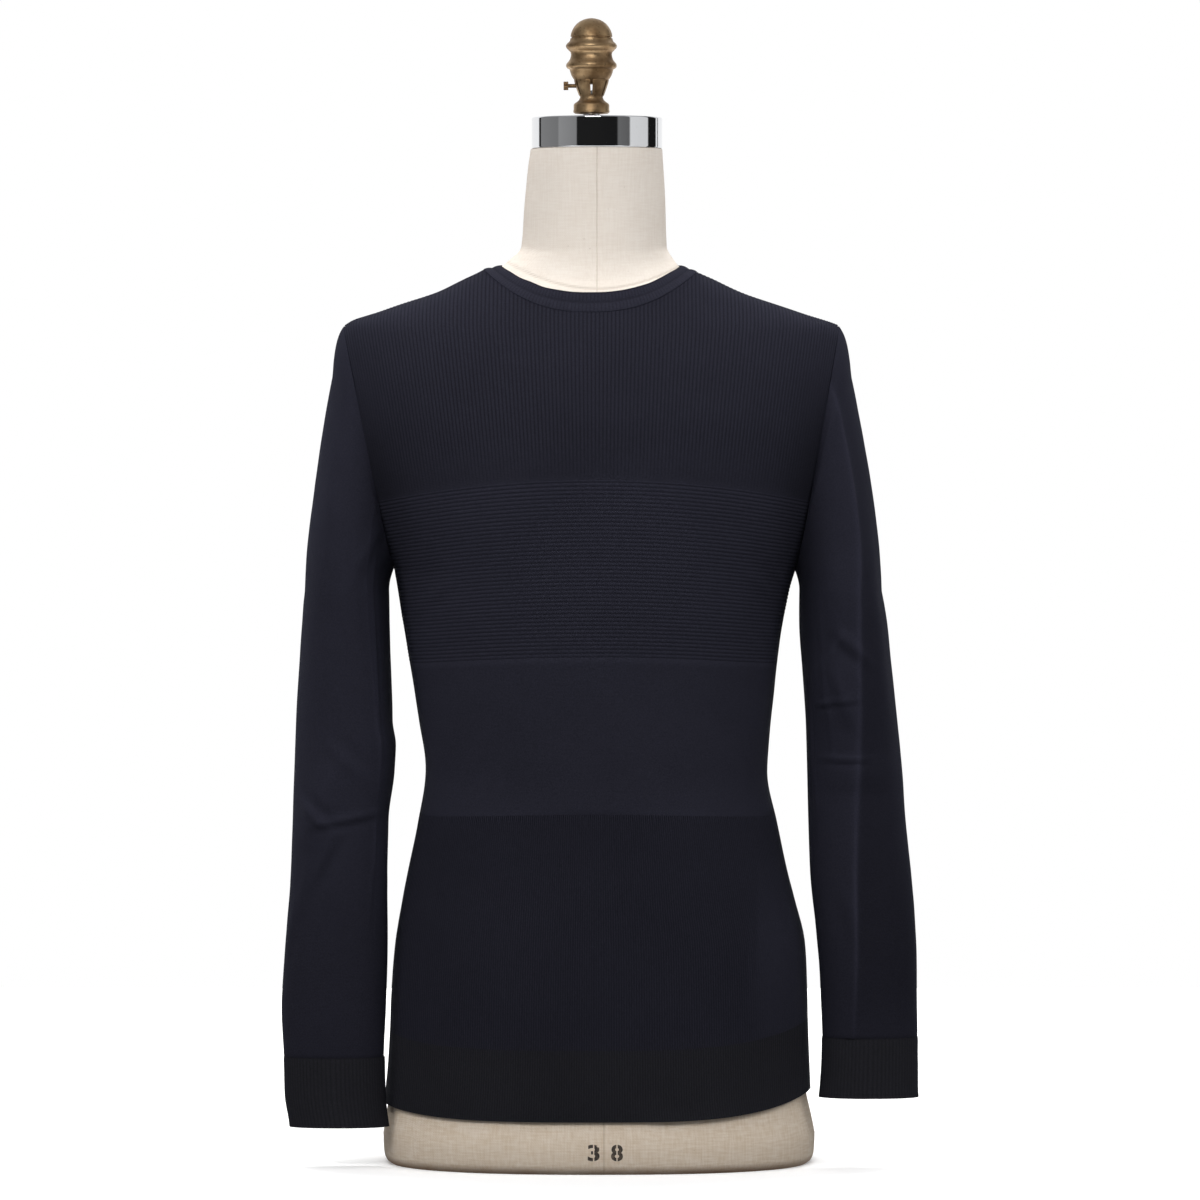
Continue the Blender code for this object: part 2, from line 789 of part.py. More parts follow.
def folded(piece, arm, angle, point):
    """Lift a sleeve's point out of its plain tube where a fold runs."""
    row = read(arm.table, min(point.z, SLEEVE_TOP_Z))
    away = point - Vector((arm.side * (row.inner + row.outer) / 2, row.middle, point.z))
    return point + away.normalized() * fold_lift(piece, math.degrees(angle) % 360, point.z)


def build_sleeve(name, arm):
    angles = [2 * math.pi * i / SLEEVE_SEGMENTS for i in range(SLEEVE_SEGMENTS)]
    rings = []
    for t in SLEEVE_HEAD_STEPS:
        rings.append([sleeve_head_point(arm, angle, t) for angle in angles])
    for i in range(SLEEVE_RINGS + 1):
        z = SLEEVE_TOP_Z + (arm.cuff_seam - SLEEVE_TOP_Z) * i / SLEEVE_RINGS
        rings.append([sleeve_point(arm, angle, z) for angle in angles])
    for ring in rings[1:]:
        ring[:] = [folded(name, arm, angle, point) for angle, point in zip(angles, ring)]
    lean = (edge_width(arm.side, SHOULDER_Z) - edge_width(arm.side, UNDERARM_Z)) / (2 * ARMHOLE_RISE)
    towards_body = Vector((-arm.side, 0, lean)).normalized()
    inner = inset_rings(rings, WALL, {0: towards_body, -1: Vector((0, 0, -1))})
    rows = [[ring_row(ring) for ring in skin] for skin in (rings, inner)]
    return build_wall(f"sleeve_{name}", *rows, "navy_knit", closed=True)


def build_cuff(name, arm):
    angles = [2 * math.pi * i / SLEEVE_SEGMENTS for i in range(SLEEVE_SEGMENTS)]
    top = arm.cuff_seam - SEAM_GAP
    rings, inner = [], []
    for i in range(CUFF_ROWS):
        z = top + (arm.cuff_end - top) * i / (CUFF_ROWS - 1)
        rings.append([sleeve_point(arm, angle, z, RIB_PROUD) for angle in angles])
        inner.append([sleeve_point(arm, angle, z, RIB_PROUD - RIB_WALL) for angle in angles])
    rows = [[ring_row(ring) for ring in skin] for skin in (rings, inner)]
    return build_wall(f"cuff_{name}", *rows, "navy_rib", closed=True)


# Dress form

def form_body_ring(z):
    """Level ring of the form's skin under the sweater, flat at the arm plates."""
    ease = read(FORM_EASE, z)
    level = z + ease.lift
    middle = read(DEPTHS, level).middle
    rounding = smooth_value(*zip(*BASE_ROUND), z)
    ring = []
    for i in range(FORM_SEGMENTS):
        c, s = superellipse(2 * math.pi * (i + 0.5) / FORM_SEGMENTS, TORSO_POWER)
        width, depth = torso_radii(c, s, level)
        x = c * (width - ease.side - rounding)
        plate = edge_width(c, min(level, SHOULDER_Z)) - ARM_PLATE_INSET
        if level > UNDERARM_Z:
            x = max(-plate, min(plate, x))
        ring.append(Vector((x, middle + s * (depth - ease.depth - rounding), z)))
    return ring


def form_neck_ring(row):
    ring = []
    for i in range(FORM_SEGMENTS):
        c, s = superellipse(2 * math.pi * (i + 0.5) / FORM_SEGMENTS, NECK_POWER)
        x = c * (row.right if c > 0 else row.left)
        ring.append(Vector((x, row.middle + s * (row.back if s > 0 else row.front), row.z)))
    return ring


def build_form_body():
    """Whole padded form with a flat base and a neck, closed at the bottom."""
    heights = [z for z, _ in BASE_ROUND] + list(FORM_BODY_RINGS)
    rings = [form_body_ring(z) for z in heights]
    rings += [form_neck_ring(row) for row in FORM_NECK]
    bm = bmesh.new()
    loops = [[bm.verts.new(place(point)) for point in ring] for ring in rings]
    for lower, upper in zip(loops, loops[1:]):
        for i in range(FORM_SEGMENTS):
            j = (i + 1) % FORM_SEGMENTS
            bm.faces.new((lower[i], lower[j], upper[j], upper[i]))
    bm.faces.new(loops[0])
    bm.faces.new(loops[-1])
    return add_object("form_body", bm, "cream_canvas")


# Neck fittings

def turned_object(name, profile, finish, x):
    """Turn a profile of radius and height about an upright axis with a Screw."""
    bm = bmesh.new()
    points = [bm.verts.new(place((row.radius, 0, row.z))) for row in profile]
    for a, b in zip(points, points[1:]):
        bm.edges.new((a, b))
    if profile[0].radius > 0:
        bm.edges.new((points[-1], points[0]))
    mesh = bpy.data.meshes.new(name)
    bm.to_mesh(mesh)
    bm.free()
    obj = bpy.data.objects.new(name, mesh)
    PARTS.objects.link(obj)
    obj.location = place((x, CAP_Y, 0))
    mesh.materials.append(MATERIALS[finish])
    screw = obj.modifiers.new("turn", "SCREW")
    screw.steps = TURN_STEPS
    screw.render_steps = TURN_STEPS
    screw.use_merge_vertices = True
    screw.merge_threshold = 0.00005
    return obj


def cylinder(name, radius, low, high, x, y, segments, collection):
    """Upright cylinder from its radius and its two heights."""
    bm = bmesh.new()
    bmesh.ops.create_cone(bm, cap_ends=True, segments=segments, radius1=radius * MM,
                          radius2=radius * MM, depth=(high - low) * MM)
    mesh = bpy.data.meshes.new(name)
    bm.to_mesh(mesh)
    bm.free()
    obj = bpy.data.objects.new(name, mesh)
    obj.location = place((x, y, (low + high) / 2))
    collection.objects.link(obj)
    return obj


def cut(obj, cutter):
    """Cut a wired cutter out of an object."""
    cutter.hide_render = True
    cutter.display_type = "WIRE"
    boolean = obj.modifiers.new(cutter.name, "BOOLEAN")
    boolean.operation = "DIFFERENCE"
    boolean.object = cutter


def build_neck_cap():
    cap = cylinder("neck_cap", CAP_RADIUS, CAP_BOTTOM, CAP_TOP, 0, CAP_Y, 2 * TURN_STEPS, PARTS)
    cap.data.materials.append(MATERIALS["chrome"])
    bevel = cap.modifiers.new("edge", "BEVEL")
    bevel.width = CAP_EDGE * MM
    bevel.segments = 2
    low = CAP_TOP - POLE_SUNK
    cut(cap, cylinder("pole_hole", POLE_BORE, low, CAP_TOP + 5, POLE_X, CAP_Y, TURN_STEPS, CUTTERS))
    return cap


def build_pole():
    low = CAP_TOP - POLE_SUNK + SEAM_GAP
    pole = cylinder("pole", POLE_RADIUS, low, POLE_TOP, POLE_X, CAP_Y, TURN_STEPS, PARTS)
    pole.data.materials.append(MATERIALS["steel"])
    return pole


def build_clamp_sleeve():
    """Flange and slotted sleeve that clamps on the pole."""
    sleeve = turned_object("clamp_sleeve", CLAMP_PROFILE, "aged_brass", POLE_X)
    top = CLAMP_PROFILE[0].z + 1
    length = 2 * CAP_RADIUS / 3
    for i in range(CLAMP_SLITS // 2):
        bm = bmesh.new()
        bmesh.ops.create_cube(bm, size=1)
        size = place((length, SLIT_WIDTH, top - SLIT_BOTTOM))
        bmesh.ops.scale(bm, vec=size, verts=bm.verts)
        mesh = bpy.data.meshes.new(f"slit_{i + 1}")
        bm.to_mesh(mesh)
        bm.free()
        slit = bpy.data.objects.new(mesh.name, mesh)
        slit.location = place((POLE_X, CAP_Y, (top + SLIT_BOTTOM) / 2))
        slit.rotation_euler.z = math.pi * (i + 0.5) / (CLAMP_SLITS // 2)
        CUTTERS.objects.link(slit)
        cut(sleeve, slit)
    return sleeve


def build_thumb_screw():
    """Small knurled screw that stands out of the clamp sleeve on the viewer's left."""
    bm = bmesh.new()
    count = 2 * SCREW_KNURLS
    shaft_start = POLE_X - CLAMP_PROFILE[1].radius - SEAM_GAP
    shaft_end = shaft_start - SCREW_SHAFT.z
    head_end = shaft_end - SCREW_HEAD.z
    rings = []
    for x, radius, knurl in ((shaft_start, SCREW_SHAFT.radius, 0.0),
                             (shaft_end, SCREW_SHAFT.radius, 0.0),
                             (shaft_end, SCREW_HEAD.radius, 0.35),
                             (head_end, SCREW_HEAD.radius, 0.35)):
        ring = []
        for i in range(count):
            angle = 2 * math.pi * i / count
            r = radius - knurl * (i % 2)
            ring.append(bm.verts.new(place((x, CAP_Y + r * math.cos(angle),
                                            SCREW_Z + r * math.sin(angle)))))
        rings.append(ring)
    for a, b in zip(rings, rings[1:]):
        for i in range(count):
            j = (i + 1) % count
            bm.faces.new((a[i], a[j], b[j], b[i]))
    bm.faces.new(rings[0])
    bm.faces.new(rings[-1])
    return add_object("thumb_screw", bm, "aged_brass")


# Scene

def clear_scene():
    for obj in list(bpy.data.objects):
        bpy.data.objects.remove(obj, do_unlink=True)


def new_collection(name):
    collection = bpy.data.collections.new(name)
    bpy.context.scene.collection.children.link(collection)
    return collection


def make_materials():
    materials = {}
    for name, finish in FINISHES.items():
        material = bpy.data.materials.new(name)
        material.use_nodes = True
        shader = material.node_tree.nodes["Principled BSDF"]
        shader.inputs["Base Color"].default_value = (*finish.colour, 1.0)
        shader.inputs["Roughness"].default_value = finish.roughness
        shader.inputs["Metallic"].default_value = finish.metallic
        materials[name] = material
    return materials


clear_scene()
PARTS = new_collection("crewneck_sweater_on_dress_form")
CUTTERS = new_collection("cutters")
MATERIALS = make_materials()

build_front()
build_back()
build_hem_band()
build_collar()
for arm_name, arm_row in ARMS.items():
    build_sleeve(arm_name, arm_row)
    build_cuff(arm_name, arm_row)
build_form_body()
build_neck_cap()
build_pole()
build_clamp_sleeve()
turned_object("finial", FINIAL_PROFILE, "aged_brass", POLE_X)
build_thumb_screw()
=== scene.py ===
"""Looks of a crewneck sweater that a limbless dress form wears.

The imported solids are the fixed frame. Tables and named sizes are in millimetres, in the
frame's own axes: X to the viewer's right, Y away from the viewer, Z up from the form's
flat base. Each cloth piece is a thin shell on the surface of its solid, with the knit's
ribs, the seams and the creases added along the surface's normal.
"""

import bisect
import functools
import math
from collections import namedtuple

import bmesh
import bpy
from mathutils import Matrix, Vector, noise


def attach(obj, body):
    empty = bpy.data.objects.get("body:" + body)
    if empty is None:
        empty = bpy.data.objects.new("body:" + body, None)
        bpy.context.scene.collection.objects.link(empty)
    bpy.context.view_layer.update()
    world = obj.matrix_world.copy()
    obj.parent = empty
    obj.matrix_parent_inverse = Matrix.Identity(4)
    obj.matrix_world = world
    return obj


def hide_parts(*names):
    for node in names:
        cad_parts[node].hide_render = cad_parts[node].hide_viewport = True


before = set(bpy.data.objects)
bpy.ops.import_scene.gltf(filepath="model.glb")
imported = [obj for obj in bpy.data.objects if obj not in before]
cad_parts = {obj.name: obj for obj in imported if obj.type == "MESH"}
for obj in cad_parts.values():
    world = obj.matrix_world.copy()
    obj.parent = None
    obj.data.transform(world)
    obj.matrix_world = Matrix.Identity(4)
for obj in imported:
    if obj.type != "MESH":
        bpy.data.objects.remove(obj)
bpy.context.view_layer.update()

MM = 0.001
TABLE_STEP = 0.5
MERGE = 0.000002


# Tables of the solids' sizes

class Profile:
    """Table of sizes by height, each column read on a smooth curve."""

    def __init__(self, names, *rows):
        self.row = namedtuple("Row", names)
        self.places, *self.columns = zip(*rows)
        self.known = {}

    def column_at(self, values, place):
        places = self.places
        place = min(max(place, places[0]), places[-1])
        last = len(places) - 1
        i = min(bisect.bisect_right(places, place) - 1, last - 1)

        def chord(j):
            return (values[j + 1] - values[j]) / (places[j + 1] - places[j])

        def tangent(j):
            if j in (0, last):
                return chord(min(j, last - 1))
            before, after = chord(j - 1), chord(j)
            return 2 * before * after / (before + after) if before * after > 0 else 0.0

        step = places[i + 1] - places[i]
        t = (place - places[i]) / step
        start = (1 + 2 * t) * (1 - t) ** 2 * values[i]
        end = t * t * (3 - 2 * t) * values[i + 1]
        bend = t * (1 - t) * step * ((1 - t) * tangent(i) - t * tangent(i + 1))
        return start + end + bend

    def known_row(self, step):
        if step not in self.known:
            place = step * TABLE_STEP
            self.known[step] = [self.column_at(values, place) for values in self.columns]
        return self.known[step]

    def at(self, z):
        step = math.floor(z / TABLE_STEP)
        t = z / TABLE_STEP - step
        pairs = zip(self.known_row(step), self.known_row(step + 1))
        return self.row(z, *[a + (b - a) * t for a, b in pairs])


TORSO_POWER = 2.4
UNDERARM_Z = 487.0
SHOULDER_Z = 685.0
SIDE_SEAMS = Profile(
    "z left right",
    (0, 175, 178.3), (25, 175.5, 178.8), (42, 176, 178.4), (61, 173.6, 175.2),
    (96, 170.6, 173.8), (137, 168.9, 172.6), (178, 165.6, 170.6), (219, 159, 161),
    (280, 146.8, 147.6), (321, 140.2, 139.4), (362, 146, 142.7), (424, 155.8, 149.6),
    (465, 162.4, 156.5), (487, 166.5, 163),
)
SHOULDER_LINE = Profile(
    "z left right",
    (685, 206, 197), (689, 200, 187), (694, 187.8, 173.8), (704, 159, 145),
    (713, 132, 119), (723, 110.7, 97.6), (733, 91, 76), (742, 80, 66),
)
SHOULDER_TOP = 742.0
DEPTHS = Profile(
    "z front back middle",
    (0, 107, 124, 0), (25, 108, 125, 0), (61, 109, 126, 0), (120, 109, 126, 0),
    (178, 107, 123, 0), (239, 105, 113, 0), (300, 104, 103, 0), (340, 107, 101, 0),
    (400, 114, 104, 0), (470, 121, 111, 0), (556, 124, 117, 0), (600, 119.5, 118, 0),
    (640, 109, 114, 1.5), (670, 95.5, 104, 4), (685, 87, 97, 6), (697, 79.5, 91, 7.5),
    (711, 71.5, 83, 9.5), (724, 63.5, 74, 11), (735, 56, 66, 12), (742, 53, 62, 12),
)

ARMHOLE_Z = (UNDERARM_Z + SHOULDER_Z) / 2
ARMHOLE_RISE = (SHOULDER_Z - UNDERARM_Z) / 2
ARMHOLE_DEPTH = 62.0
ARMHOLE_POWER = 2.2

Line = namedtuple("Line", "z drop")
YOKE_LINE = Line(561, 18)
BAND_LINE = Line(418.5, 8)
WAIST_LINE = Line(291, 5)

HEM_Z = 43.0
HEM_RISE = 13.0
HEM_TILT = 5.0
HEM_BAND = 58.0
HEM_HALF_WIDTH = 173.0

Neckline = namedtuple("Neckline", "centre half_width front_z back_z")
COLLAR_SEAM = Neckline(-5.5, 87.5, 696.0, 722.0)
COLLAR_EDGE = Neckline(-5.0, 74.0, 711.8, 741.0)
COLLAR_EDGE_SIDE_Z = 734.5
COLLAR_EDGE_FRONT = 73.5
COLLAR_EDGE_BACK = 68.0
COLLAR_EDGE_MIDDLE = 11.5
NECKLINE_POWER = 2.4
NECK_POWER = 2.1

SLEEVE_TOP_Z = 469.0
SLEEVE_RIGHT = Profile(
    "z inner outer middle depth",
    (33, 170.5, 250, -42, 36), (60, 173, 254.5, -41, 38), (90, 173.7, 255.5, -39, 42),
    (130, 172, 257.5, -34, 52), (178, 171, 255, -27, 62), (239, 171.5, 250.5, -19, 74),
    (280, 171, 249, -14, 84), (321, 166, 247.6, -9, 96), (342, 165, 246.8, -7, 102),
    (362, 168, 246, -5, 108), (424, 169.7, 242.7, 0, 128), (469, 170.6, 239.4, 2, 140),
)
SLEEVE_LEFT = Profile(
    "z inner outer middle depth",
    (57, 182, 261.5, -41, 38), (106, 184, 261.5, -36, 46), (157, 182.8, 261.5, -30, 57),
    (198, 179.8, 260, -25, 65), (239, 176, 257, -19, 74), (280, 174.5, 253, -14, 84),
    (321, 173.5, 250, -9, 96), (362, 172.5, 246, -5, 108), (403, 170, 242, 0, 124),
    (444, 167.3, 237.8, 2, 134), (469, 167.3, 233.7, 2, 140),
)
SLEEVE_POWER = 2.2
HEAD_START = 0.1
HEAD_LEAN = 0.35
HEAD_END = 0.42
HEAD_SHARE = 0.32

Arm = namedtuple("Arm", "side table cuff_seam cuff_end")
ARMS = {
    "right": Arm(-1, SLEEVE_RIGHT, 90, 33),
    "left": Arm(1, SLEEVE_LEFT, 106, 57),
}

FORM_EASE = Profile(
    "z side depth lift",
    (0, 0, 0, 0), (25, 0, 0, 0), (42, 3.6, 3.2, 0), (61, 4, 3.6, 0),
    (110, 4.6, 4.2, 0), (590, 4.2, 4.5, 0), (640, 3.2, 4.5, 1.2), (685, 1.8, 4, 1.7),
    (742, 1.8, 4, 1.7),
)
ARM_PLATE_INSET = 4.0
BODY_TOP = 704.0
FORM_NECK = Profile(
    "z left right front back middle",
    (714, 120, 107, 62, 74, 9.5), (724, 91, 78, 57, 65, 11), (735, 74.4, 63.6, 54.5, 59.5, 11.5),
    (740, 68.5, 60, 53.8, 58, 11.3), (748, 62.5, 57.5, 53, 56, 11), (789, 59, 56, 52.5, 54, 9),
    (818, 56, 54.3, 52.5, 53, 6.5), (830.2, 54.2, 53.6, 52.5, 52.8, 5.5),
)
BASE_ROUND = Profile("z inset", (0, 6.0), (2.5, 2.6), (7, 0.7), (14, 0.0))

CAP_Y = 5.0
CAP_RADIUS = 53.5
CAP_BOTTOM = 830.5
CAP_TOP = 856.0
POLE_X = -4.5
POLE_RADIUS = 7.0
POLE_BORE = 7.3
POLE_TOP = 878.0


# Knit

CLOTH = 1.2
RIB_CLOTH = 1.8
RIB_PROUD = 0.3
YOKE_RIBS = 135
BAND_RIBS = 44
LOWER_RIBS = 190
HEM_RIBS = 376
CUFF_RIBS = 78
COLLAR_RIBS = 176
RIB_STEPS = 4
VERTICAL_RIB = 0.36
LEVEL_RIB = 0.5
BAND_RIB = 0.3
SEAM_DENT = 0.35
SEAM_REACH = 1.3
ARMHOLE_DENT = 0.05
# Darkness of each knit zone and piece, partly the knit's own tone and partly painted shade: darker
# low down, in the lower zone, hem and cuffs, where less light falls.
PLAIN_TONE = 0.32
LOWER_TONE = 0.45
BAND_TONE = 0.14
YOKE_TONE = 0.36
HEM_TONE = 0.43
COLLAR_TONE = 0.26
CUFF_TONE = 0.47
RIB_MEAN = 0.72
RIB_SHADE = 0.6
CUFF_SHADE = 0.38
ARMHOLE_SHADE = 0.34
SHOULDER_ROUND = 1.4
BULGE_PAINTED_LIGHT = 0.2

# The front's knit zones, each from its lower line up. The first starts at the hem band.
KnitZone = namedtuple("KnitZone", "start ribs level_ribs height tone columns rows")
KNIT_ZONES = (
    KnitZone(None, LOWER_RIBS, 0, VERTICAL_RIB, LOWER_TONE, LOWER_RIBS * RIB_STEPS, 24),
    KnitZone(WAIST_LINE, 0, 0, 0.0, PLAIN_TONE, 64, 22),
    KnitZone(BAND_LINE, 0, BAND_RIBS, LEVEL_RIB, BAND_TONE, 64,
             (2 * BAND_RIBS + 1) * RIB_STEPS // 2),
    KnitZone(YOKE_LINE, YOKE_RIBS, 0, VERTICAL_RIB, YOKE_TONE, YOKE_RIBS * RIB_STEPS, 26),
)
ZONE_JOINT = 0.15
COLLAR_HEIGHT = 16.0
COLLAR_MIDDLE = 0.5
COLLAR_ROWS = (0, 0.05, 0.1, 0.2, 0.3, 0.4, 0.46, 0.5, 0.54, 0.6, 0.7, 0.8, 0.9, 1)
CUFF_ROWS = [0, 0.03, 0.06] + [0.12 + 0.88 * i / 10 for i in range(11)]
SLEEVE_LENGTH = 560.0
SLEEVE_ROUND = 260


def by_piece(columns, **tables):
    """Rows of each piece's table, with their columns named."""
    row = namedtuple("Row", columns)
    return {piece: [row(*values) for values in rows] for piece, rows in tables.items()}


# Long soft folds. On the torso, place is X. On a sleeve it is the angle in degrees from
# the outer edge, 90 at the front, at the middle of the heights low to high. Lean moves a
# fold sideways for each millimetre of height.
FOLDS = by_piece(
    "place low high width height lean",
    front=(
        (127, 135, 235, 7, -1.6, 0.0), (150, 95, 240, 14, 2.0, 0.0),
        (-118, 285, 420, 12, 1.6, 0.25), (122, 300, 430, 13, 1.3, -0.22),
        (-140, 430, 560, 9, 1.1, 0.35), (138, 440, 560, 9, 1.2, -0.35),
        (-60, 300, 390, 16, 0.8, 0.3), (40, 110, 200, 12, 0.5, 0.1),
    ),
    back=(
        (70, 290, 430, 14, 2.2, -0.3), (-85, 270, 400, 16, 2.4, 0.35),
        (20, 240, 380, 11, 1.5, 0.28), (-30, 330, 450, 10, 1.2, -0.2),
        (125, 430, 590, 10, 1.6, -0.4), (-128, 440, 580, 9, 1.4, 0.45),
        (118, 100, 230, 13, 1.4, 0.0), (-95, 105, 200, 11, 1.1, 0.1),
    ),
    right=(
        (128, 260, 470, 22, 3.6, 0.0), (66, 255, 335, 20, 3.2, 0.25),
        (215, 300, 420, 20, 3.4, -0.2),
    ),
    left=(
        (56, 320, 560, 20, 4.4, 0.0), (118, 355, 430, 20, 3.4, 0.4),
        (90, 305, 340, 40, 2.4, 0.0), (240, 290, 430, 22, 3.4, 0.2),
    ),
)

# Short sharp creases: where the middle is, as above, half its length and width in
# millimetres along the cloth, its height, and its tilt in degrees from upright.
CREASES = by_piece(
    "place z half width height tilt",
    right=(
        (128, 400, 120, 2.4, 1.0, 0), (132, 250, 60, 2.2, 0.7, 3), (60, 288, 26, 4.5, 2.4, -50),
        (96, 284, 34, 2.8, 2.6, 78), (74, 252, 34, 5.0, 2.2, 22), (50, 226, 44, 6.0, 1.8, 10),
        (95, 330, 28, 5.0, 1.4, -40), (110, 500, 34, 6.0, 1.2, 24), (62, 545, 30, 6.0, 1.0, -18),
        (30, 200, 36, 6.0, 0.9, 10), (230, 285, 30, 6.0, 1.5, 48), (262, 318, 26, 5.0, 1.2, -44),
        (285, 420, 40, 6.5, 1.2, 20), (205, 210, 32, 5.5, 1.1, -22),
    ),
    left=(
        (118, 395, 80, 2.2, 0.9, 2), (84, 424, 24, 4.5, 2.6, 36), (108, 420, 24, 4.0, 2.2, -32),
        (98, 384, 34, 5.0, 2.4, 12), (106, 334, 26, 1.8, 3.0, 88), (112, 380, 26, 2.0, 2.6, 98),
        (146, 350, 60, 2.6, 3.0, 0), (78, 600, 30, 5.5, 1.1, -30), (52, 250, 40, 6.0, 0.9, -8),
        (104, 205, 36, 6.0, 0.9, 14), (236, 395, 28, 5.5, 1.5, -46),
        (258, 350, 24, 5.0, 1.3, 40), (282, 480, 40, 6.5, 1.2, -18),
        (212, 240, 34, 5.5, 1.0, 20),
    ),
    front=(
        (-128, 470, 26, 4.5, 0.8, 46), (-112, 520, 24, 5.0, 0.6, 30),
        (130, 478, 28, 4.5, 0.9, -44), (112, 508, 22, 5.0, 0.6, -32),
        (-96, 340, 34, 6.0, 0.8, 28), (92, 352, 30, 6.0, 0.7, -34), (126, 190, 50, 2.6, 0.9, 0),
    ),
    back=(
        (104, 470, 30, 5.0, 1.0, -42), (-110, 480, 28, 5.0, 1.0, 44),
        (48, 330, 34, 6.0, 1.1, 36), (-56, 318, 38, 6.0, 1.2, -38), (6, 286, 30, 6.0, 0.8, 62),
        (-12, 640, 26, 6.0, 0.6, 74),
    ),
)

# Long creases that run down a sleeve. more_reach and less_reach are how far the cloth
# slopes away on the side of larger and smaller angles. Shade is how much painted shade
# darkens the cloth beyond the crease, towards smaller angles, or if it is negative, how
# much painted light lightens it towards larger angles.
PRESSES = by_piece(
    "place lean low high height more_reach less_reach shade",
    right=(
        (124, -0.08, 150, 600, 3.6, 7, 30, -0.28), (248, 0.05, 170, 520, 2.2, 26, 9, 0.0),
    ),
    left=(
        (84, -0.09, 70, 700, 6.5, 40, 6, 0.22), (262, -0.06, 160, 600, 2.4, 8, 28, 0.0),
        (138, -0.04, 260, 420, 1.6, 6, 10, 0.0),
    ),
)

FOLD_SOFTNESS = 1.2
CREASE_HOLLOW = 0.6
PRESS_ENDS = 1.6
SLEEVE_DEGREE = 0.7
SLEEVE_LINE = 1.3
# Painted highlight along the sleeves' crease lines, and painted shade low on the sleeves.
SLEEVE_LINE_HIGHLIGHT = 0.09
SLEEVE_LOW_SHADE = 0.20
WAVE_SIZE = 70.0
WAVE_HEIGHT = 0.5
WAVES = {"front": 3.0, "back": 11.0, "sleeve": 17.0, "cuff": 23.0}


def window(value, low, high):
    """Soft hump that is 1 in the middle of a range and 0 at its ends."""
    if not low < value < high:
        return 0.0
    return math.sin(math.pi * (value - low) / (high - low)) ** FOLD_SOFTNESS


def smooth_step(value, low, high):
    t = min(max((value - low) / (high - low), 0.0), 1.0)
    return t * t * (3 - 2 * t)


def rows_at(table, piece, z):
    """Rows of a piece that reach a height, with their place and their strength there."""
    for row in table.get(piece, ()):
        if row.low < z < row.high:
            centre = row.place + row.lean * (z - (row.low + row.high) / 2)
            yield row, centre, window(z, row.low, row.high)


def fold_lift(piece, place, z):
    """How far the long folds of a piece stand out of its plain surface."""
    lift = 0.0
    for fold, centre, strength in rows_at(FOLDS, piece, z):
        across = math.exp(-((place - centre) / fold.width) ** 2)
        lift += fold.height * across * strength
    return lift


def crease_lift(piece, place, z, unit=1.0):
    """How far the short creases stand out. Unit is the cloth's length for one place."""
    lift = 0.0
    for crease in CREASES[piece]:
        side = (place - crease.place) * unit
        rise = z - crease.z
        if max(abs(side), abs(rise)) > crease.half + 30:
            continue
        tilt = math.radians(crease.tilt)
        along = rise * math.cos(tilt) + side * math.sin(tilt)
        across = side * math.cos(tilt) - rise * math.sin(tilt)
        hump = window(along, -crease.half, crease.half)
        ridge = math.exp(-(across / crease.width) ** 2)
        hollow = math.exp(-((across - 1.7 * crease.width) / crease.width) ** 2)
        lift += crease.height * hump * (ridge - CREASE_HOLLOW * hollow)
    return lift


def press_lift(piece, place, z, line=None):
    """How far a sleeve's long creases stand out, or with a line's half width, that line."""
    lift = 0.0
    for press, centre, strength in rows_at(PRESSES, piece, z):
        side = (place - centre) * SLEEVE_DEGREE
        reach = line or (press.more_reach if side > 0 else press.less_reach)
        lift += press.height * min(1.0, PRESS_ENDS * strength) * math.exp(-abs(side) / reach)
    return lift


def press_shade(piece, place, z):
    """Painted shade on a sleeve's face that a long crease turns away, or painted light where its
    shade is negative.
    """
    shade = 0.0
    for press, centre, strength in rows_at(PRESSES, piece, z):
        side = ((centre - place + 180) % 360 - 180) * SLEEVE_DEGREE
        side *= math.copysign(1, press.shade)
        face = smooth_step(side, 0.3, 2.6) * (1 - smooth_step(side, 60, 100))
        shade += press.shade * min(1.0, PRESS_ENDS * strength) * face
    return shade


def soft_waves(point, seed):
    """Slight unevenness of cloth that hangs."""
    wave = noise.noise(Vector(point) / WAVE_SIZE + Vector((seed, 0, 0)))
    ripple = noise.noise(Vector(point) / (WAVE_SIZE / 3) + Vector((0, seed, 0)))
    return WAVE_HEIGHT * (wave + 0.35 * ripple)


# Torso surface

def superellipse(angle, power):
    c, s = math.cos(angle), math.sin(angle)
    return (math.copysign(abs(c) ** (2 / power), c),
            math.copysign(abs(s) ** (2 / power), s))


def edge_width(side, z):
    """Half width at a panel's edge: side seam, straight armhole, then shoulder."""
    column = 1 if side < 0 else 2
    if z <= UNDERARM_Z:
        return SIDE_SEAMS.at(z)[column]
    if z >= SHOULDER_Z:
        return SHOULDER_LINE.at(z)[column]
    t = (z - UNDERARM_Z) / (SHOULDER_Z - UNDERARM_Z)
    low, high = SIDE_SEAMS.at(UNDERARM_Z)[column], SHOULDER_LINE.at(SHOULDER_Z)[column]
    return low + (high - low) * t


def armhole_depth(z):
    t = abs(z - ARMHOLE_Z) / ARMHOLE_RISE
    if t >= 1:
        return 0.0
    return ARMHOLE_DEPTH * (1 - t ** ARMHOLE_POWER) ** (1 / ARMHOLE_POWER)


def torso_radii(side, face, z):
    """Half width and depth of the section on one side and one face."""
    depths = DEPTHS.at(z)
    depth = depths.front if face < 0 else depths.back
    filled = 1 - (armhole_depth(z) / depth) ** TORSO_POWER
    return edge_width(side, z) / filled ** (1 / TORSO_POWER), depth


def torso_point(x, face, z):
    middle = DEPTHS.at(z).middle
    width, depth = torso_radii(x, face, z)
    level = min(abs(x) / width, 1.0) ** TORSO_POWER
    return Vector((x, middle + face * depth * (1 - level) ** (1 / TORSO_POWER), z))


def column_x(u, z):
    """X of a panel's column. Above the shoulder point the columns run straight up."""
    return u * edge_width(u, min(z, SHOULDER_Z))


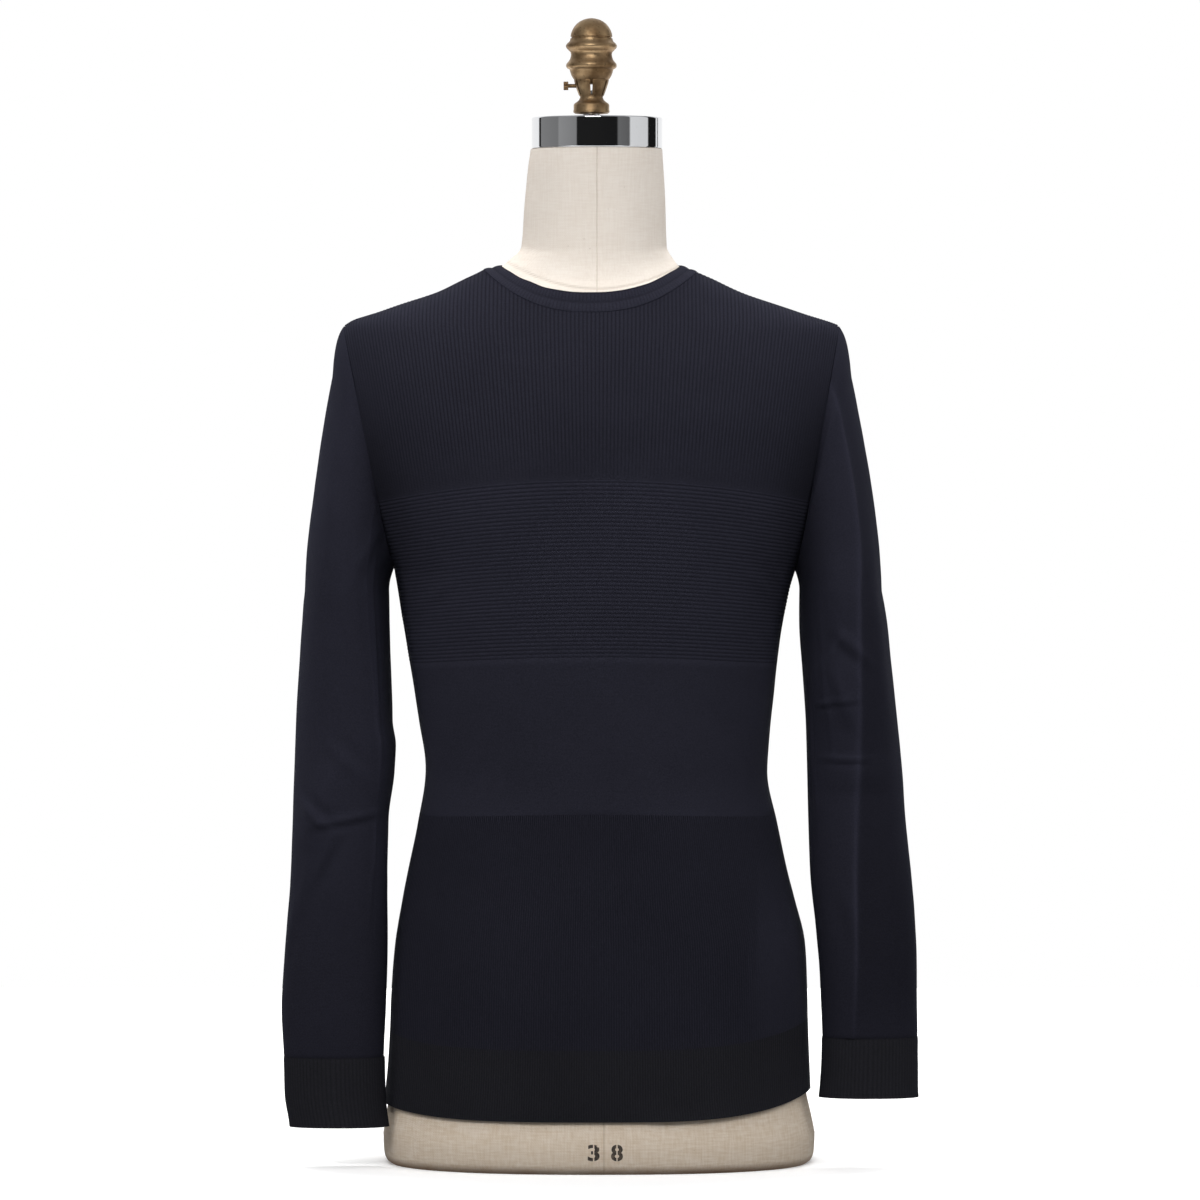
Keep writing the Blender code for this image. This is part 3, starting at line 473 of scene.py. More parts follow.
@functools.lru_cache(maxsize=None)
def shoulder_z(x):
    """Height of the shoulder seam above a place X."""
    low, high = SHOULDER_Z, SHOULDER_TOP
    for _ in range(30):
        z = (low + high) / 2
        if edge_width(x, z) > abs(x):
            low = z
        else:
            high = z
    return low


def neckline_z(line, x, face, side_z):
    centre_z = line.front_z if face < 0 else line.back_z
    t = min(abs(x - line.centre) / line.half_width, 1.0)
    return centre_z + (side_z - centre_z) * t ** NECKLINE_POWER


def collar_seam_z(x, face):
    side = math.copysign(1, x - COLLAR_SEAM.centre)
    side_z = shoulder_z(COLLAR_SEAM.centre + side * COLLAR_SEAM.half_width)
    return neckline_z(COLLAR_SEAM, x, face, side_z)


@functools.lru_cache(maxsize=None)
def column_top(u, face):
    """Height at which a panel's column ends: at the neckline or the shoulder seam."""
    x = column_x(u, SHOULDER_Z)
    if abs(x - COLLAR_SEAM.centre) < COLLAR_SEAM.half_width:
        return collar_seam_z(x, face)
    return shoulder_z(x)


def hem_z(x):
    """Height of the sweater's lower edge at a place X."""
    t = x / HEM_HALF_WIDTH
    return HEM_Z + HEM_RISE * t ** 4 + HEM_TILT * t ** 3


def measured_columns():
    """Places from -1 to 1 and the cloth's length up to each, at chest height."""
    samples = 600
    places = [math.sin(math.pi * (i / samples - 0.5)) for i in range(samples + 1)]
    points = [torso_point(column_x(u, YOKE_LINE.z), -1, YOKE_LINE.z) for u in places]
    lengths = [0.0]
    for a, b in zip(points, points[1:]):
        lengths.append(lengths[-1] + (b - a).length)
    return places, lengths


COLUMN_PLACES, COLUMN_LENGTHS = measured_columns()
CHEST = COLUMN_LENGTHS[-1]


@functools.lru_cache(maxsize=None)
def even_place(t):
    """Column at a share of the way across the panel, from its left edge."""
    target = min(max(t, 0.0), 1.0) * CHEST
    j = min(max(bisect.bisect_left(COLUMN_LENGTHS, target), 1), len(COLUMN_LENGTHS) - 1)
    step = COLUMN_LENGTHS[j] - COLUMN_LENGTHS[j - 1]
    part = (target - COLUMN_LENGTHS[j - 1]) / step
    return COLUMN_PLACES[j - 1] + (COLUMN_PLACES[j] - COLUMN_PLACES[j - 1]) * part


# Cloth

def steps(count):
    """Even shares from 0 to 1."""
    return [i / count for i in range(count + 1)]


def rib(phase):
    """Rounded ridge with a narrow dip between ribs, by the share of one rib."""
    return abs(math.sin(math.pi * phase)) ** 0.6


class Cloth:
    """Shell of cloth that is laid in grids, joined and then given its thickness."""

    def __init__(self, name):
        self.name = name
        self.bm = bmesh.new()
        self.uv = self.bm.loops.layers.uv.new("cloth")
        # Darkness painted on each vertex, from 0 to 1: the cloth's tone and painted shade.
        self.tone_and_painted_shade = self.bm.verts.layers.float.new("tone_and_painted_shade")
        self.places = {}

    def lay(self, across, up, point, lift, tone_and_painted_shade, size, out=1, wrap=False):
        """Grid of cloth. Returns its rows of vertices.

        point(s, t) is the plain surface in millimetres, lift how far the knit and its
        creases stand out there, tone_and_painted_shade how dark it is painted there, from 0
        to 1: its tone with painted shade in grooves, seams and shaded places, less where
        light is painted, and size the cloth's width and length for its knit pattern.
        """
        made = bmesh.ops.create_grid(self.bm, x_segments=len(across) - 1,
                                     y_segments=len(up) - 1, size=1)
        rows = [[None] * len(across) for _ in up]
        for vertex in made["verts"]:
            i = round((vertex.co.x + 1) / 2 * (len(across) - 1))
            j = round((vertex.co.y + 1) / 2 * (len(up) - 1))
            rows[j][i] = vertex
        grid = [[point(s, t) for s in across] for t in up]
        last = len(across) - 1
        for j, t in enumerate(up):
            below, above = grid[max(j - 1, 0)], grid[min(j + 1, len(up) - 1)]
            for i, s in enumerate(across):
                before = grid[j][i - 1 if i else (last - 1 if wrap else 0)]
                after = grid[j][i + 1 if i < last else (1 if wrap else last)]
                normal = (after - before).cross(above[i] - below[i]).normalized() * out
                vertex = rows[j][i]
                vertex.co = (grid[j][i] + normal * lift(s, t, grid[j][i])) * MM
                vertex[self.tone_and_painted_shade] = tone_and_painted_shade(s, t, grid[j][i])
                self.places[vertex] = (s * size[0] * MM, t * size[1] * MM)
        if out < 0:
            inside_out = {f for row in rows for v in row for f in v.link_faces}
            bmesh.ops.reverse_faces(self.bm, faces=list(inside_out))
        return rows

    def join(self, lower, upper):
        """Close the narrow gap between two rows, whatever their counts."""
        edges = []
        for row in (lower, upper):
            edges += [self.bm.edges.get(pair) for pair in zip(row, row[1:])]
        bmesh.ops.bridge_loops(self.bm, edges=edges)

    def mesh(self, sharp=None):
        """Close the seams between the grids and turn them into a mesh."""
        for face in self.bm.faces:
            for loop in face.loops:
                loop[self.uv].uv = self.places[loop.vert]
        bmesh.ops.remove_doubles(self.bm, verts=self.bm.verts, dist=MERGE)
        for edge in self.bm.edges:
            edge.smooth = not edge.is_boundary
        return mesh_of(self.bm, self.name, sharp=sharp)

    def finish(self, material, thickness, slot, node):
        """Make the shell an object that rides on the part and stands for its node."""
        piece = add_piece(self.name, self.mesh(), material, slot, node)
        wall = piece.modifiers.new("cloth", "SOLIDIFY")
        wall.thickness = thickness * MM
        wall.offset = -1
        return piece


def mesh_of(bm, name, smooth=True, sharp=None):
    """Turn a bmesh into a mesh. Sharp is the least angle of its sharp edges, in degrees."""
    mesh = bpy.data.meshes.new(name)
    bm.to_mesh(mesh)
    bm.free()
    if smooth:
        mesh.shade_smooth()
    if sharp:
        mesh.set_sharp_from_angle(angle=math.radians(sharp))
    return mesh


def add_object(name, data):
    made = bpy.data.objects.new(name, data)
    bpy.context.scene.collection.objects.link(made)
    return made


def add_piece(name, mesh, material, slot=None, node=None):
    """Piece that rides on the part, and stands for a node if it has one."""
    mesh.materials.append(material)
    piece = add_object(name, mesh)
    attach(piece, "root")
    if node:
        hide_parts(node)
    return piece


def seam_dip(distance):
    """Share of a seam's dent at a distance from it."""
    return math.exp(-(distance / SEAM_REACH) ** 2)


def panel_edge(u, z):
    """Distance of a panel's place from its side or armhole edge."""
    return (1 - abs(u)) * edge_width(u, min(z, SHOULDER_Z))


def panel_lift(piece, u, p):
    """How far a panel stands out, apart from its ribs."""
    shoulder = smooth_step(abs(u), 0.86, 1.0) * smooth_step(p.z, 640, 684)
    folds = fold_lift(piece, p.x, p.z) + crease_lift(piece, p.x, p.z)
    dent = ARMHOLE_DENT * seam_dip(panel_edge(u, p.z))
    return folds + SHOULDER_ROUND * shoulder - dent + soft_waves(p, WAVES[piece])


def hem_band_z(u, t=1):
    """Height in a column of the hem band, from 0 at its lower edge to 1."""
    return hem_z(column_x(u, HEM_Z + HEM_BAND)) + HEM_BAND * t


def zone_start(i, s):
    """Height of the lower line of a knit zone, or above the last zone the panel's top."""
    u = even_place(s)
    if i == len(KNIT_ZONES):
        return column_top(u, -1)
    start = KNIT_ZONES[i].start
    return start.z - start.drop * u * u if start else hem_band_z(u)


def bulge(p):
    """Share of the front's smooth bulge at the lower right, where its ribs spread and painted
    light lightens it.
    """
    return smooth_step(p.x, 112, 148) * window(p.z, 70, 270)


def yoke_fade(u, t, z):
    """Share of the yoke's rib height, less at its lower line and near the armholes."""
    low = smooth_step(t, 0.0, 0.012) * (0.4 + 0.6 * smooth_step(t, 0.0, 0.25))
    beside = smooth_step(680 - z, 0, 60) * (1 - smooth_step(panel_edge(u, z), 5, 30))
    return low * (1 - 0.7 * beside)


def lay_zone(cloth, i):
    """Knit zone of the front panel. Returns its rows of vertices."""
    zone = KNIT_ZONES[i]

    def point(s, t):
        low = zone_start(i, s) + (ZONE_JOINT if i else 0.0)
        high = zone_start(i + 1, s) - (ZONE_JOINT if i + 1 < len(KNIT_ZONES) else 0.0)
        z = low + (high - low) * t
        return torso_point(column_x(even_place(s), z), -1, z)

    def ridge(s, t, p):
        """Height of the ribs, from 0 in the grooves to 1."""
        phase = s * zone.ribs if zone.ribs else t * (zone.level_ribs + 0.5)
        fade = 1 - bulge(p) if zone.ribs == LOWER_RIBS else 1.0
        if zone.ribs == YOKE_RIBS:
            fade = yoke_fade(even_place(s), t, p.z)
        return RIB_MEAN + (rib(phase) - RIB_MEAN) * fade

    def lift(s, t, p):
        raised = (ridge(s, t, p) - RIB_MEAN) * zone.height
        return panel_lift("front", even_place(s), p) + raised

    def tone_and_painted_shade(s, t, p):
        # Painted shade in the rib grooves and along the seams, a wide painted shade beside the
        # armhole, and painted light on the smooth bulge at the lower right.
        side = panel_edge(even_place(s), p.z)
        hollow = ARMHOLE_SHADE * math.exp(-(side / 24) ** 2) * window(p.z, 410, 650)
        deep = RIB_SHADE * (1 - ridge(s, t, p)) * (1 - zone.tone) if zone.height else 0.0
        seam = max(0.06 * seam_dip(side), deep)
        return max(0.0, zone.tone + seam + hollow - BULGE_PAINTED_LIGHT * bulge(p))

    size = CHEST, zone_start(i + 1, 0.5) - zone_start(i, 0.5)
    return cloth.lay(steps(zone.columns), steps(zone.rows), point, lift, tone_and_painted_shade, size)


def lay_front(cloth):
    """Front panel in its four knit zones, from the hem band up to the neck."""
    before = None
    for i in range(len(KNIT_ZONES)):
        rows = lay_zone(cloth, i)
        if before:
            cloth.join(before, rows[0])
        before = rows[-1]


def lay_back(cloth):
    """Back panel of plain knit."""
    def point(s, t):
        u = -even_place(s)
        low = hem_band_z(u)
        z = low + (column_top(u, 1) - low) * t
        return torso_point(column_x(u, z), 1, z)

    def lift(s, t, p):
        return panel_lift("back", even_place(s), p)

    def tone_and_painted_shade(s, t, p):
        # Painted shade along the panel's seams.
        return PLAIN_TONE + 0.25 * seam_dip(panel_edge(even_place(s), p.z))

    cloth.lay(steps(110), steps(120), point, lift, tone_and_painted_shade, (CHEST, 640))


def lay_hem_band(cloth):
    """Ribbed band around the lower edge, in one tube."""
    def point(s, t):
        front = s < 0.5
        u = even_place(2 * s) if front else -even_place(2 * s - 1)
        z = hem_band_z(u, t)
        return torso_point(column_x(u, z), -1 if front else 1, z)

    def lift(s, t, p):
        raised = BAND_RIB * (rib(s * HEM_RIBS) - RIB_MEAN)
        seam = 0.1 * SEAM_DENT * seam_dip((1 - t) * HEM_BAND)
        if p.y >= 0:
            return raised - seam + soft_waves(p, WAVES["back"])
        curl = 1.1 * smooth_step(p.x, 35, 60) * (1 - smooth_step(p.x, 100, 130))
        roll = curl * (1 - smooth_step(t, 0.0, 0.16))
        folds = fold_lift("front", p.x, p.z)
        return raised - seam + roll + folds + soft_waves(p, WAVES["front"])

    def tone_and_painted_shade(s, t, p):
        # Painted shade in the rib grooves.
        return HEM_TONE + RIB_SHADE * (1 - HEM_TONE) * (1 - rib(s * HEM_RIBS))

    across = steps(HEM_RIBS * RIB_STEPS)
    cloth.lay(across, steps(12), point, lift, tone_and_painted_shade, (2 * CHEST, HEM_BAND), wrap=True)


def collar_seam_point(angle):
    x = COLLAR_SEAM.centre + COLLAR_SEAM.half_width * math.cos(angle)
    face = -1 if math.sin(angle) < 0 else 1
    return torso_point(x, face, collar_seam_z(x, face))


def collar_edge_point(angle):
    c, s = superellipse(angle, NECK_POWER)
    x = COLLAR_EDGE.centre + COLLAR_EDGE.half_width * c
    face, depth = (-1, COLLAR_EDGE_FRONT) if s < 0 else (1, COLLAR_EDGE_BACK)
    z = neckline_z(COLLAR_EDGE, x, face, COLLAR_EDGE_SIDE_Z)
    return Vector((x, COLLAR_EDGE_MIDDLE + depth * s, z))


def lay_collar(cloth):
    """Ribbed neck band, with a seam halfway up and a soft edge."""
    def point(s, t):
        angle = 2 * math.pi * s
        a, b = collar_seam_point(angle), collar_edge_point(angle)
        p = a + (b - a) * t
        p.z += 0.7 * t * t * noise.noise(Vector((math.cos(angle) * 4, math.sin(angle) * 4, 7.0)))
        return p

    def seams(t):
        return seam_dip(t * COLLAR_HEIGHT), seam_dip((t - COLLAR_MIDDLE) * COLLAR_HEIGHT)

    def lift(s, t, p):
        swell = 0.5 * window(t, -0.08, COLLAR_MIDDLE) + 0.7 * window(t, COLLAR_MIDDLE, 1.15)
        low, middle = seams(t)
        dent = SEAM_DENT * (0.4 * low + 0.6 * middle)
        return RIB_PROUD + swell + 0.1 * rib(s * COLLAR_RIBS) - dent

    def tone_and_painted_shade(s, t, p):
        # Painted shade in the seams and rib grooves, and a painted shadow along the top edge.
        low, middle = seams(t)
        edge = 0.6 * smooth_step(t, 0.9, 1.0)
        ribs = 0.25 * (1 - rib(s * COLLAR_RIBS))
        return COLLAR_TONE + max(0.12 * low, 0.25 * middle, edge, ribs)

    across = steps(COLLAR_RIBS * RIB_STEPS)
    cloth.lay(across, COLLAR_ROWS, point, lift, tone_and_painted_shade, (480, COLLAR_HEIGHT), wrap=True)


def armhole_point(arm, angle):
    c, s = superellipse(angle, ARMHOLE_POWER)
    z = ARMHOLE_Z + ARMHOLE_RISE * c
    x = arm.side * edge_width(arm.side, z)
    return Vector((x, DEPTHS.at(z).middle - ARMHOLE_DEPTH * s, z))


def sleeve_point(arm, angle, z):
    row = arm.table.at(z)
    c, s = superellipse(angle, SLEEVE_POWER)
    x = arm.side * ((row.outer + row.inner) / 2 + (row.outer - row.inner) / 2 * c)
    return Vector((x, row.middle - row.depth / 2 * s, z))


def sleeve_head_point(arm, angle, t):
    """Point between the armhole and the first level section, on a cubic curve."""
    start, end = armhole_point(arm, angle), sleeve_point(arm, angle, SLEEVE_TOP_Z)
    length = (end - start).length
    leave = start + Vector((arm.side * HEAD_LEAN, 0, -1)) * (length * HEAD_START)
    arrive = end + Vector((0, 0, length * HEAD_END))
    return (start * (1 - t) ** 3 + leave * (3 * t * (1 - t) ** 2)
            + arrive * (3 * t * t * (1 - t)) + end * t ** 3)


def turn_angle(s):
    """Angle from the outer edge at a share of the way round from the inner seam."""
    return 2 * math.pi * (s + 0.5)


def turn_degrees(s):
    return math.degrees(turn_angle(s)) % 360


def lay_sleeve(cloth, name, arm):
    """Set-in sleeve, a tube from the armhole to the cuff's seam."""
    def point(s, t):
        if t < HEAD_SHARE:
            return sleeve_head_point(arm, turn_angle(s), t / HEAD_SHARE)
        fall = (t - HEAD_SHARE) / (1 - HEAD_SHARE)
        z = SLEEVE_TOP_Z + (arm.cuff_seam - SLEEVE_TOP_Z) * fall
        return sleeve_point(arm, turn_angle(s), z)

    def seams(s, t):
        armhole, cuff = seam_dip(t * SLEEVE_LENGTH * 0.7), seam_dip((1 - t) * SLEEVE_LENGTH)
        inner = seam_dip(min(s, 1 - s) * SLEEVE_ROUND)
        return max(0.12 * armhole, 0.5 * cuff, 0.6 * inner)

    def lift(s, t, p):
        place = turn_degrees(s)
        folds = fold_lift(name, place, p.z) + crease_lift(name, place, p.z, SLEEVE_DEGREE)
        folds += press_lift(name, place, p.z)
        free = (folds + soft_waves(p, WAVES["sleeve"])) * smooth_step(t, 0.0, 0.06)
        head = 3.2 * window(t, -0.02, 0.1) - 2.0 * window(t, 0.08, 0.34)
        head *= max(0.0, math.cos(math.radians(place))) ** 1.5
        return free + head - SEAM_DENT * seams(s, t)

    def tone_and_painted_shade(s, t, p):
        place = turn_degrees(s)
        # Painted highlight along the crease ridges, and painted shade where a crease turns the
        # face away, low on the sleeve where less light falls, and in the seams.
        line = SLEEVE_LINE_HIGHLIGHT * press_lift(name, place, p.z, SLEEVE_LINE)
        dark = press_shade(name, place, p.z) + SLEEVE_LOW_SHADE * smooth_step(330 - p.z, 0, 190)
        return max(0.0, PLAIN_TONE - line + dark + 0.35 * seams(s, t))

    cloth.lay(steps(220), steps(190), point, lift, tone_and_painted_shade, (270, SLEEVE_LENGTH),
              out=arm.side, wrap=True)


def lay_cuff(cloth, arm):
    """Ribbed cuff, a tube that ends open."""
    height = arm.cuff_seam - arm.cuff_end

    def point(s, t):
        return sleeve_point(arm, turn_angle(s), arm.cuff_seam - height * t)

    def lift(s, t, p):
        seam = SEAM_DENT * seam_dip(t * height)
        flare = 0.4 * smooth_step(t, 0.85, 1.0)
        ribs = RIB_PROUD + BAND_RIB * rib(s * CUFF_RIBS)
        return ribs - seam + flare + soft_waves(p, WAVES["cuff"])

    def tone_and_painted_shade(s, t, p):
        # Painted shade in the cuff's seam and its rib grooves.
        deep = max(0.4 * seam_dip(t * height), CUFF_SHADE * (1 - rib(s * CUFF_RIBS)))
        return CUFF_TONE + (1 - CUFF_TONE) * deep

    across = steps(CUFF_RIBS * RIB_STEPS)
    cloth.lay(across, CUFF_ROWS, point, lift, tone_and_painted_shade, (205, height), out=arm.side, wrap=True)


# Dress form

SEAM_TURNS = (0.0, 0.25, 0.5, 0.75)
SEAM_OFFSETS = (-0.0022, -0.0013, -0.0006, 0.0, 0.0006, 0.0013, 0.0022)
FORM_COLUMNS = 144
NECK_SWELL = 3.4
NECK_SEAM_Z = 715.5
NECK_SEAM_RISE = 24.0
NECK_SEAM_REACH = 76.0
FRONT_SEAM_SHIFT = 0.052


def polar_outline(angle, power, right, left, back, front):
    """Point of a rounded outline, by the direction from its middle."""
    c, s = math.cos(angle), math.sin(angle)
    across = right if c > 0 else left
    deep = back if s > 0 else front
    reach = (abs(c / across) ** power + abs(s / deep) ** power) ** (-1 / power)
    return reach * c, reach * s


def form_section(angle, z):
    """Point of the form's skin on a level section."""
    if z > BODY_TOP:
        row = FORM_NECK.at(max(z, FORM_NECK.places[0]))
        x, y = polar_outline(angle, NECK_POWER, row.right, row.left, row.back, row.front)
        x += NECK_SWELL * window(z, 722, 750) * math.cos(angle) ** 7
        neck = Vector((x, row.middle + y, z))
        if z >= FORM_NECK.places[0]:
            return neck
        t = (z - BODY_TOP) / (FORM_NECK.places[0] - BODY_TOP)
        return form_section(angle, BODY_TOP).lerp(neck, t) * Vector((1, 1, 0)) + Vector((0, 0, z))
    ease = FORM_EASE.at(z)
    level = z + ease.lift
    inset = BASE_ROUND.at(z).inset
    widths, depths = [], []
    for side, face in ((1, 1), (-1, -1)):
        width, depth = torso_radii(side, face, level)
        widths.append(width - ease.side - inset)
        depths.append(depth - ease.depth - inset)
    x, y = polar_outline(angle, TORSO_POWER, *widths, *depths)
    if level > UNDERARM_Z:
        plate = edge_width(x, min(level, SHOULDER_Z)) - ARM_PLATE_INSET
        x = max(-plate, min(plate, x))
    return Vector((x, DEPTHS.at(level).middle + y, z))


def form_columns():
    places = set(steps(FORM_COLUMNS)[:-1])
    for turn in SEAM_TURNS:
        places -= {p for p in places if abs(p - turn) < 0.003 or abs(p - turn) > 0.997}
        places |= {(turn + offset) % 1.0 for offset in SEAM_OFFSETS}
    return sorted(places) + [1.0 + min(places)]


def lay_form(cloth):
    """Canvas skin of the form, from its flat base to the neck's top."""
    heights = [0, 1, 2.5, 5, 8, 12, 18] + [24 + 10 * i for i in range(67)]
    heights += [690 + 1.25 * i for i in range(52)] + [757 + 2.44 * i for i in range(31)]

    def point(s, z):
        angle = 2 * math.pi * s
        shift = FRONT_SEAM_SHIFT * (1 - smooth_step(z, 0, 700))
        return form_section(angle + shift * max(0.0, -math.sin(angle)), z)

    # Share of the seams' lines, for their dents and for the painted shade along them.
    def seam_marks(s, z, p):
        turns = min(abs(s - turn) for turn in (*SEAM_TURNS, 1.0))
        upright = math.exp(-(turns / 0.0009) ** 2)
        line_z = NECK_SEAM_Z + NECK_SEAM_RISE * min(abs(p.x) / NECK_SEAM_REACH, 1.3) ** 2
        level = math.exp(-((p.z - line_z) / 0.9) ** 2) if p.z > BODY_TOP else 0.0
        return max(upright, level)

    def lift(s, z, p):
        uneven = 0.25 * noise.noise(p / 25) * min(1.0, z / 20)
        return uneven - (0.4 * seam_marks(s, z, p) if z >= 1 else 0.0)

    rows = cloth.lay(form_columns(), heights, point, lift, seam_marks, (700, 1.0), wrap=True)
    for row in (rows[0], rows[-1]):
        bmesh.ops.contextual_create(cloth.bm, geom=row[:-1])


def build_form(material):
    """The form is a closed body, so it gets no thickness."""
    form = Cloth("form_skin")
    lay_form(form)
    add_piece(form.name, form.mesh(sharp=50), material, "cream_canvas", "form_body")


# Plain size number on the form's base, in two stencilled figures
NUMBER_Z = 11.6
NUMBER_HEIGHT = 13.5
NUMBER_WIDTH = 9.6
NUMBER_BRIDGE = 0.5
NUMBER_BOLD = 0.03
NUMBER_PROUD = 0.12
FIGURES = (("3", -2.6), ("8", 16.2))


def add_figure(whole, character, centre_x):
    """Stencilled figure that lies on the form's front, cut through its middle."""
    curve = bpy.data.curves.new("figure", "FONT")
    curve.body = character
    curve.size = 1.0
    curve.offset = NUMBER_BOLD
    text = add_object("figure", curve)
    bpy.context.view_layer.update()
    mesh = bpy.data.meshes.new_from_object(text)
    bpy.data.objects.remove(text)
    bm = bmesh.new()
    bm.from_mesh(mesh)
    low = Vector([min(v.co[i] for v in bm.verts) for i in range(2)])
    high = Vector([max(v.co[i] for v in bm.verts) for i in range(2)])
    wide = NUMBER_WIDTH / (high.x - low.x)
    tall = NUMBER_HEIGHT / (high.y - low.y)
    for vertex in bm.verts:
        x = (vertex.co.x - (low.x + high.x) / 2) * wide
        vertex.co = Vector((x, 0, (vertex.co.y - low.y) * tall))
    for x in (-NUMBER_BRIDGE, NUMBER_BRIDGE):
        bmesh.ops.bisect_plane(bm, geom=bm.verts[:] + bm.edges[:] + bm.faces[:],
                               plane_co=(x, 0, 0), plane_no=(1, 0, 0))
    bridge = [f for f in bm.faces if abs(f.calc_center_median().x) < NUMBER_BRIDGE]
    bmesh.ops.delete(bm, geom=bridge, context="FACES")
    for vertex in bm.verts:
        x, z = vertex.co.x + centre_x, vertex.co.z + NUMBER_Z
        depth = form_section(-math.pi / 2 + x / 107, z).y - NUMBER_PROUD
        vertex.co = Vector((x, depth, z)) * MM
    bm.to_mesh(mesh)
    bm.free()
    whole.from_mesh(mesh)
    bpy.data.meshes.remove(mesh)


def build_number(material):
    whole = bmesh.new()
    for character, centre_x in FIGURES:
        add_figure(whole, character, centre_x)
    add_piece("size_number", mesh_of(whole, "size_number", smooth=False), material)


# Fittings on the neck

TURN_STEPS = 72
FINIAL_PROFILE = (
    (0, 937.4), (3, 937.1), (6.5, 936.2), (9.6, 934.6), (12.2, 932.6), (14.2, 930.2),
    (15.8, 927.4), (16.8, 924.6), (17.1, 922.3), (16.3, 921.8), (16.3, 921.2), (17.2, 920.7),
    (17.6, 918.9), (18.4, 917.8), (19.8, 916.7), (20.8, 915.3), (20.9, 914.1), (20.3, 912.7),
    (18.6, 911.0), (17.2, 909.6), (16.7, 907.8), (17.0, 905.6), (17.8, 903.4), (19.0, 901.7),
    (20.3, 900.3), (20.8, 898.9), (20.6, 897.4), (19.6, 896.2), (18.2, 895.6), (17.8, 894.9),
    (17.3, 893.0), (16.5, 890.7), (15.2, 888.4), (13.6, 886.4), (11.6, 884.8), (10.4, 883.6),
    (0, 883.6),
)
COLLAR_PROFILE = (
    (POLE_BORE, 874.4), (9.6, 874.4), (9.3, 872.4), (10.2, 870.4), (12.0, 868.8),
    (13.6, 867.8), (14.4, 866.9), (14.6, 865.9), (14.6, 862.4), (14.9, 861.4),
    (14.7, 860.2), (13.4, 859.3), (POLE_BORE, 858.8),
)
FINGER_PROFILE = (
    (13.1, 887.0), (14.0, 887.2), (14.3, 886.6), (13.6, 883.6), (12.5, 880.4), (11.3, 877.0),
    (10.4, 874.6), (9.9, 873.7), (POLE_BORE, 873.7), (POLE_BORE, 876.5), (10.0, 880.0),
    (11.6, 883.0),
)
FINGERS = 6
FINGER_GAP = 9.0
SCREW_Z = 882.0
SCREW_STEPS = 36


SCREW_PARTS = ((1.6, 11.6, 19.0), (3.5, 19.0, 22.8))
KNURL = 0.35
POLE_RIM = 0.5
POLE_FOOT = CAP_TOP - 11.7
POLE_PROFILE = (
    (0, POLE_TOP), (POLE_RADIUS - POLE_RIM, POLE_TOP), (POLE_RADIUS, POLE_TOP - POLE_RIM),
    (POLE_RADIUS, POLE_FOOT), (0, POLE_FOOT),
)
CAP_RIM = ((1.8, 0), (1.3, 0), (0.6, 0.15), (0.15, 0.6), (0, 1.2), (0, 1.6))
CAP_FOOT = ((0, 1.4), (0, 1.0), (0.25, 0.3), (0.9, 0))
CAP_PROFILE = (
    (POLE_BORE, CAP_TOP),
    *[(CAP_RADIUS - inset, CAP_TOP - drop) for inset, drop in CAP_RIM],
    *[(CAP_RADIUS - inset, CAP_BOTTOM + rise) for inset, rise in CAP_FOOT],
    (POLE_BORE, CAP_BOTTOM),
)


def spin(bm, profile, degrees=360, first=0, count=TURN_STEPS):
    """Turn a profile of radius and height about the pole."""
    verts = [bm.verts.new(Vector((r, 0, z)) * MM) for r, z in profile]
    edges = [bm.edges.new(pair) for pair in zip(verts, verts[1:])]
    if profile[0][0] > 0:
        edges.append(bm.edges.new((verts[-1], verts[0])))
    bmesh.ops.rotate(bm, verts=verts, matrix=Matrix.Rotation(math.radians(first), 3, "Z"))
    full = degrees == 360
    made = bmesh.ops.spin(bm, geom=verts + edges, axis=(0, 0, 1), cent=(0, 0, 0),
                          angle=math.radians(degrees), steps=count, use_merge=full)
    if not full:
        end = [g for g in made["geom_last"] if isinstance(g, bmesh.types.BMEdge)]
        for rim in (edges, end):
            bmesh.ops.contextual_create(bm, geom=rim)


def build_turned(name, spins, sharp, material, slot, node, rim_x=0.0):
    """Piece turned about the pole in one or more spins. rim_x moves all but its bore."""
    bm = bmesh.new()
    for settings in spins:
        spin(bm, *settings)
    for vertex in bm.verts:
        if vertex.co.to_2d().length >= (POLE_BORE + 1) * MM:
            vertex.co.x += rim_x * MM
    bmesh.ops.remove_doubles(bm, verts=bm.verts, dist=5 * MERGE)
    bmesh.ops.recalc_face_normals(bm, faces=bm.faces)
    bmesh.ops.translate(bm, verts=bm.verts, vec=Vector((POLE_X, CAP_Y, 0)) * MM)
    add_piece(name, mesh_of(bm, name, sharp=sharp), material, slot, node)


def clamp_spins():
    """Flange with six fingers that clamp the pole."""
    step = 360 / FINGERS
    starts = [step * i + step / 2 + FINGER_GAP / 2 for i in range(FINGERS)]
    fingers = [(FINGER_PROFILE, step - FINGER_GAP, first, TURN_STEPS // FINGERS)
               for first in starts]
    return [(COLLAR_PROFILE,)] + fingers


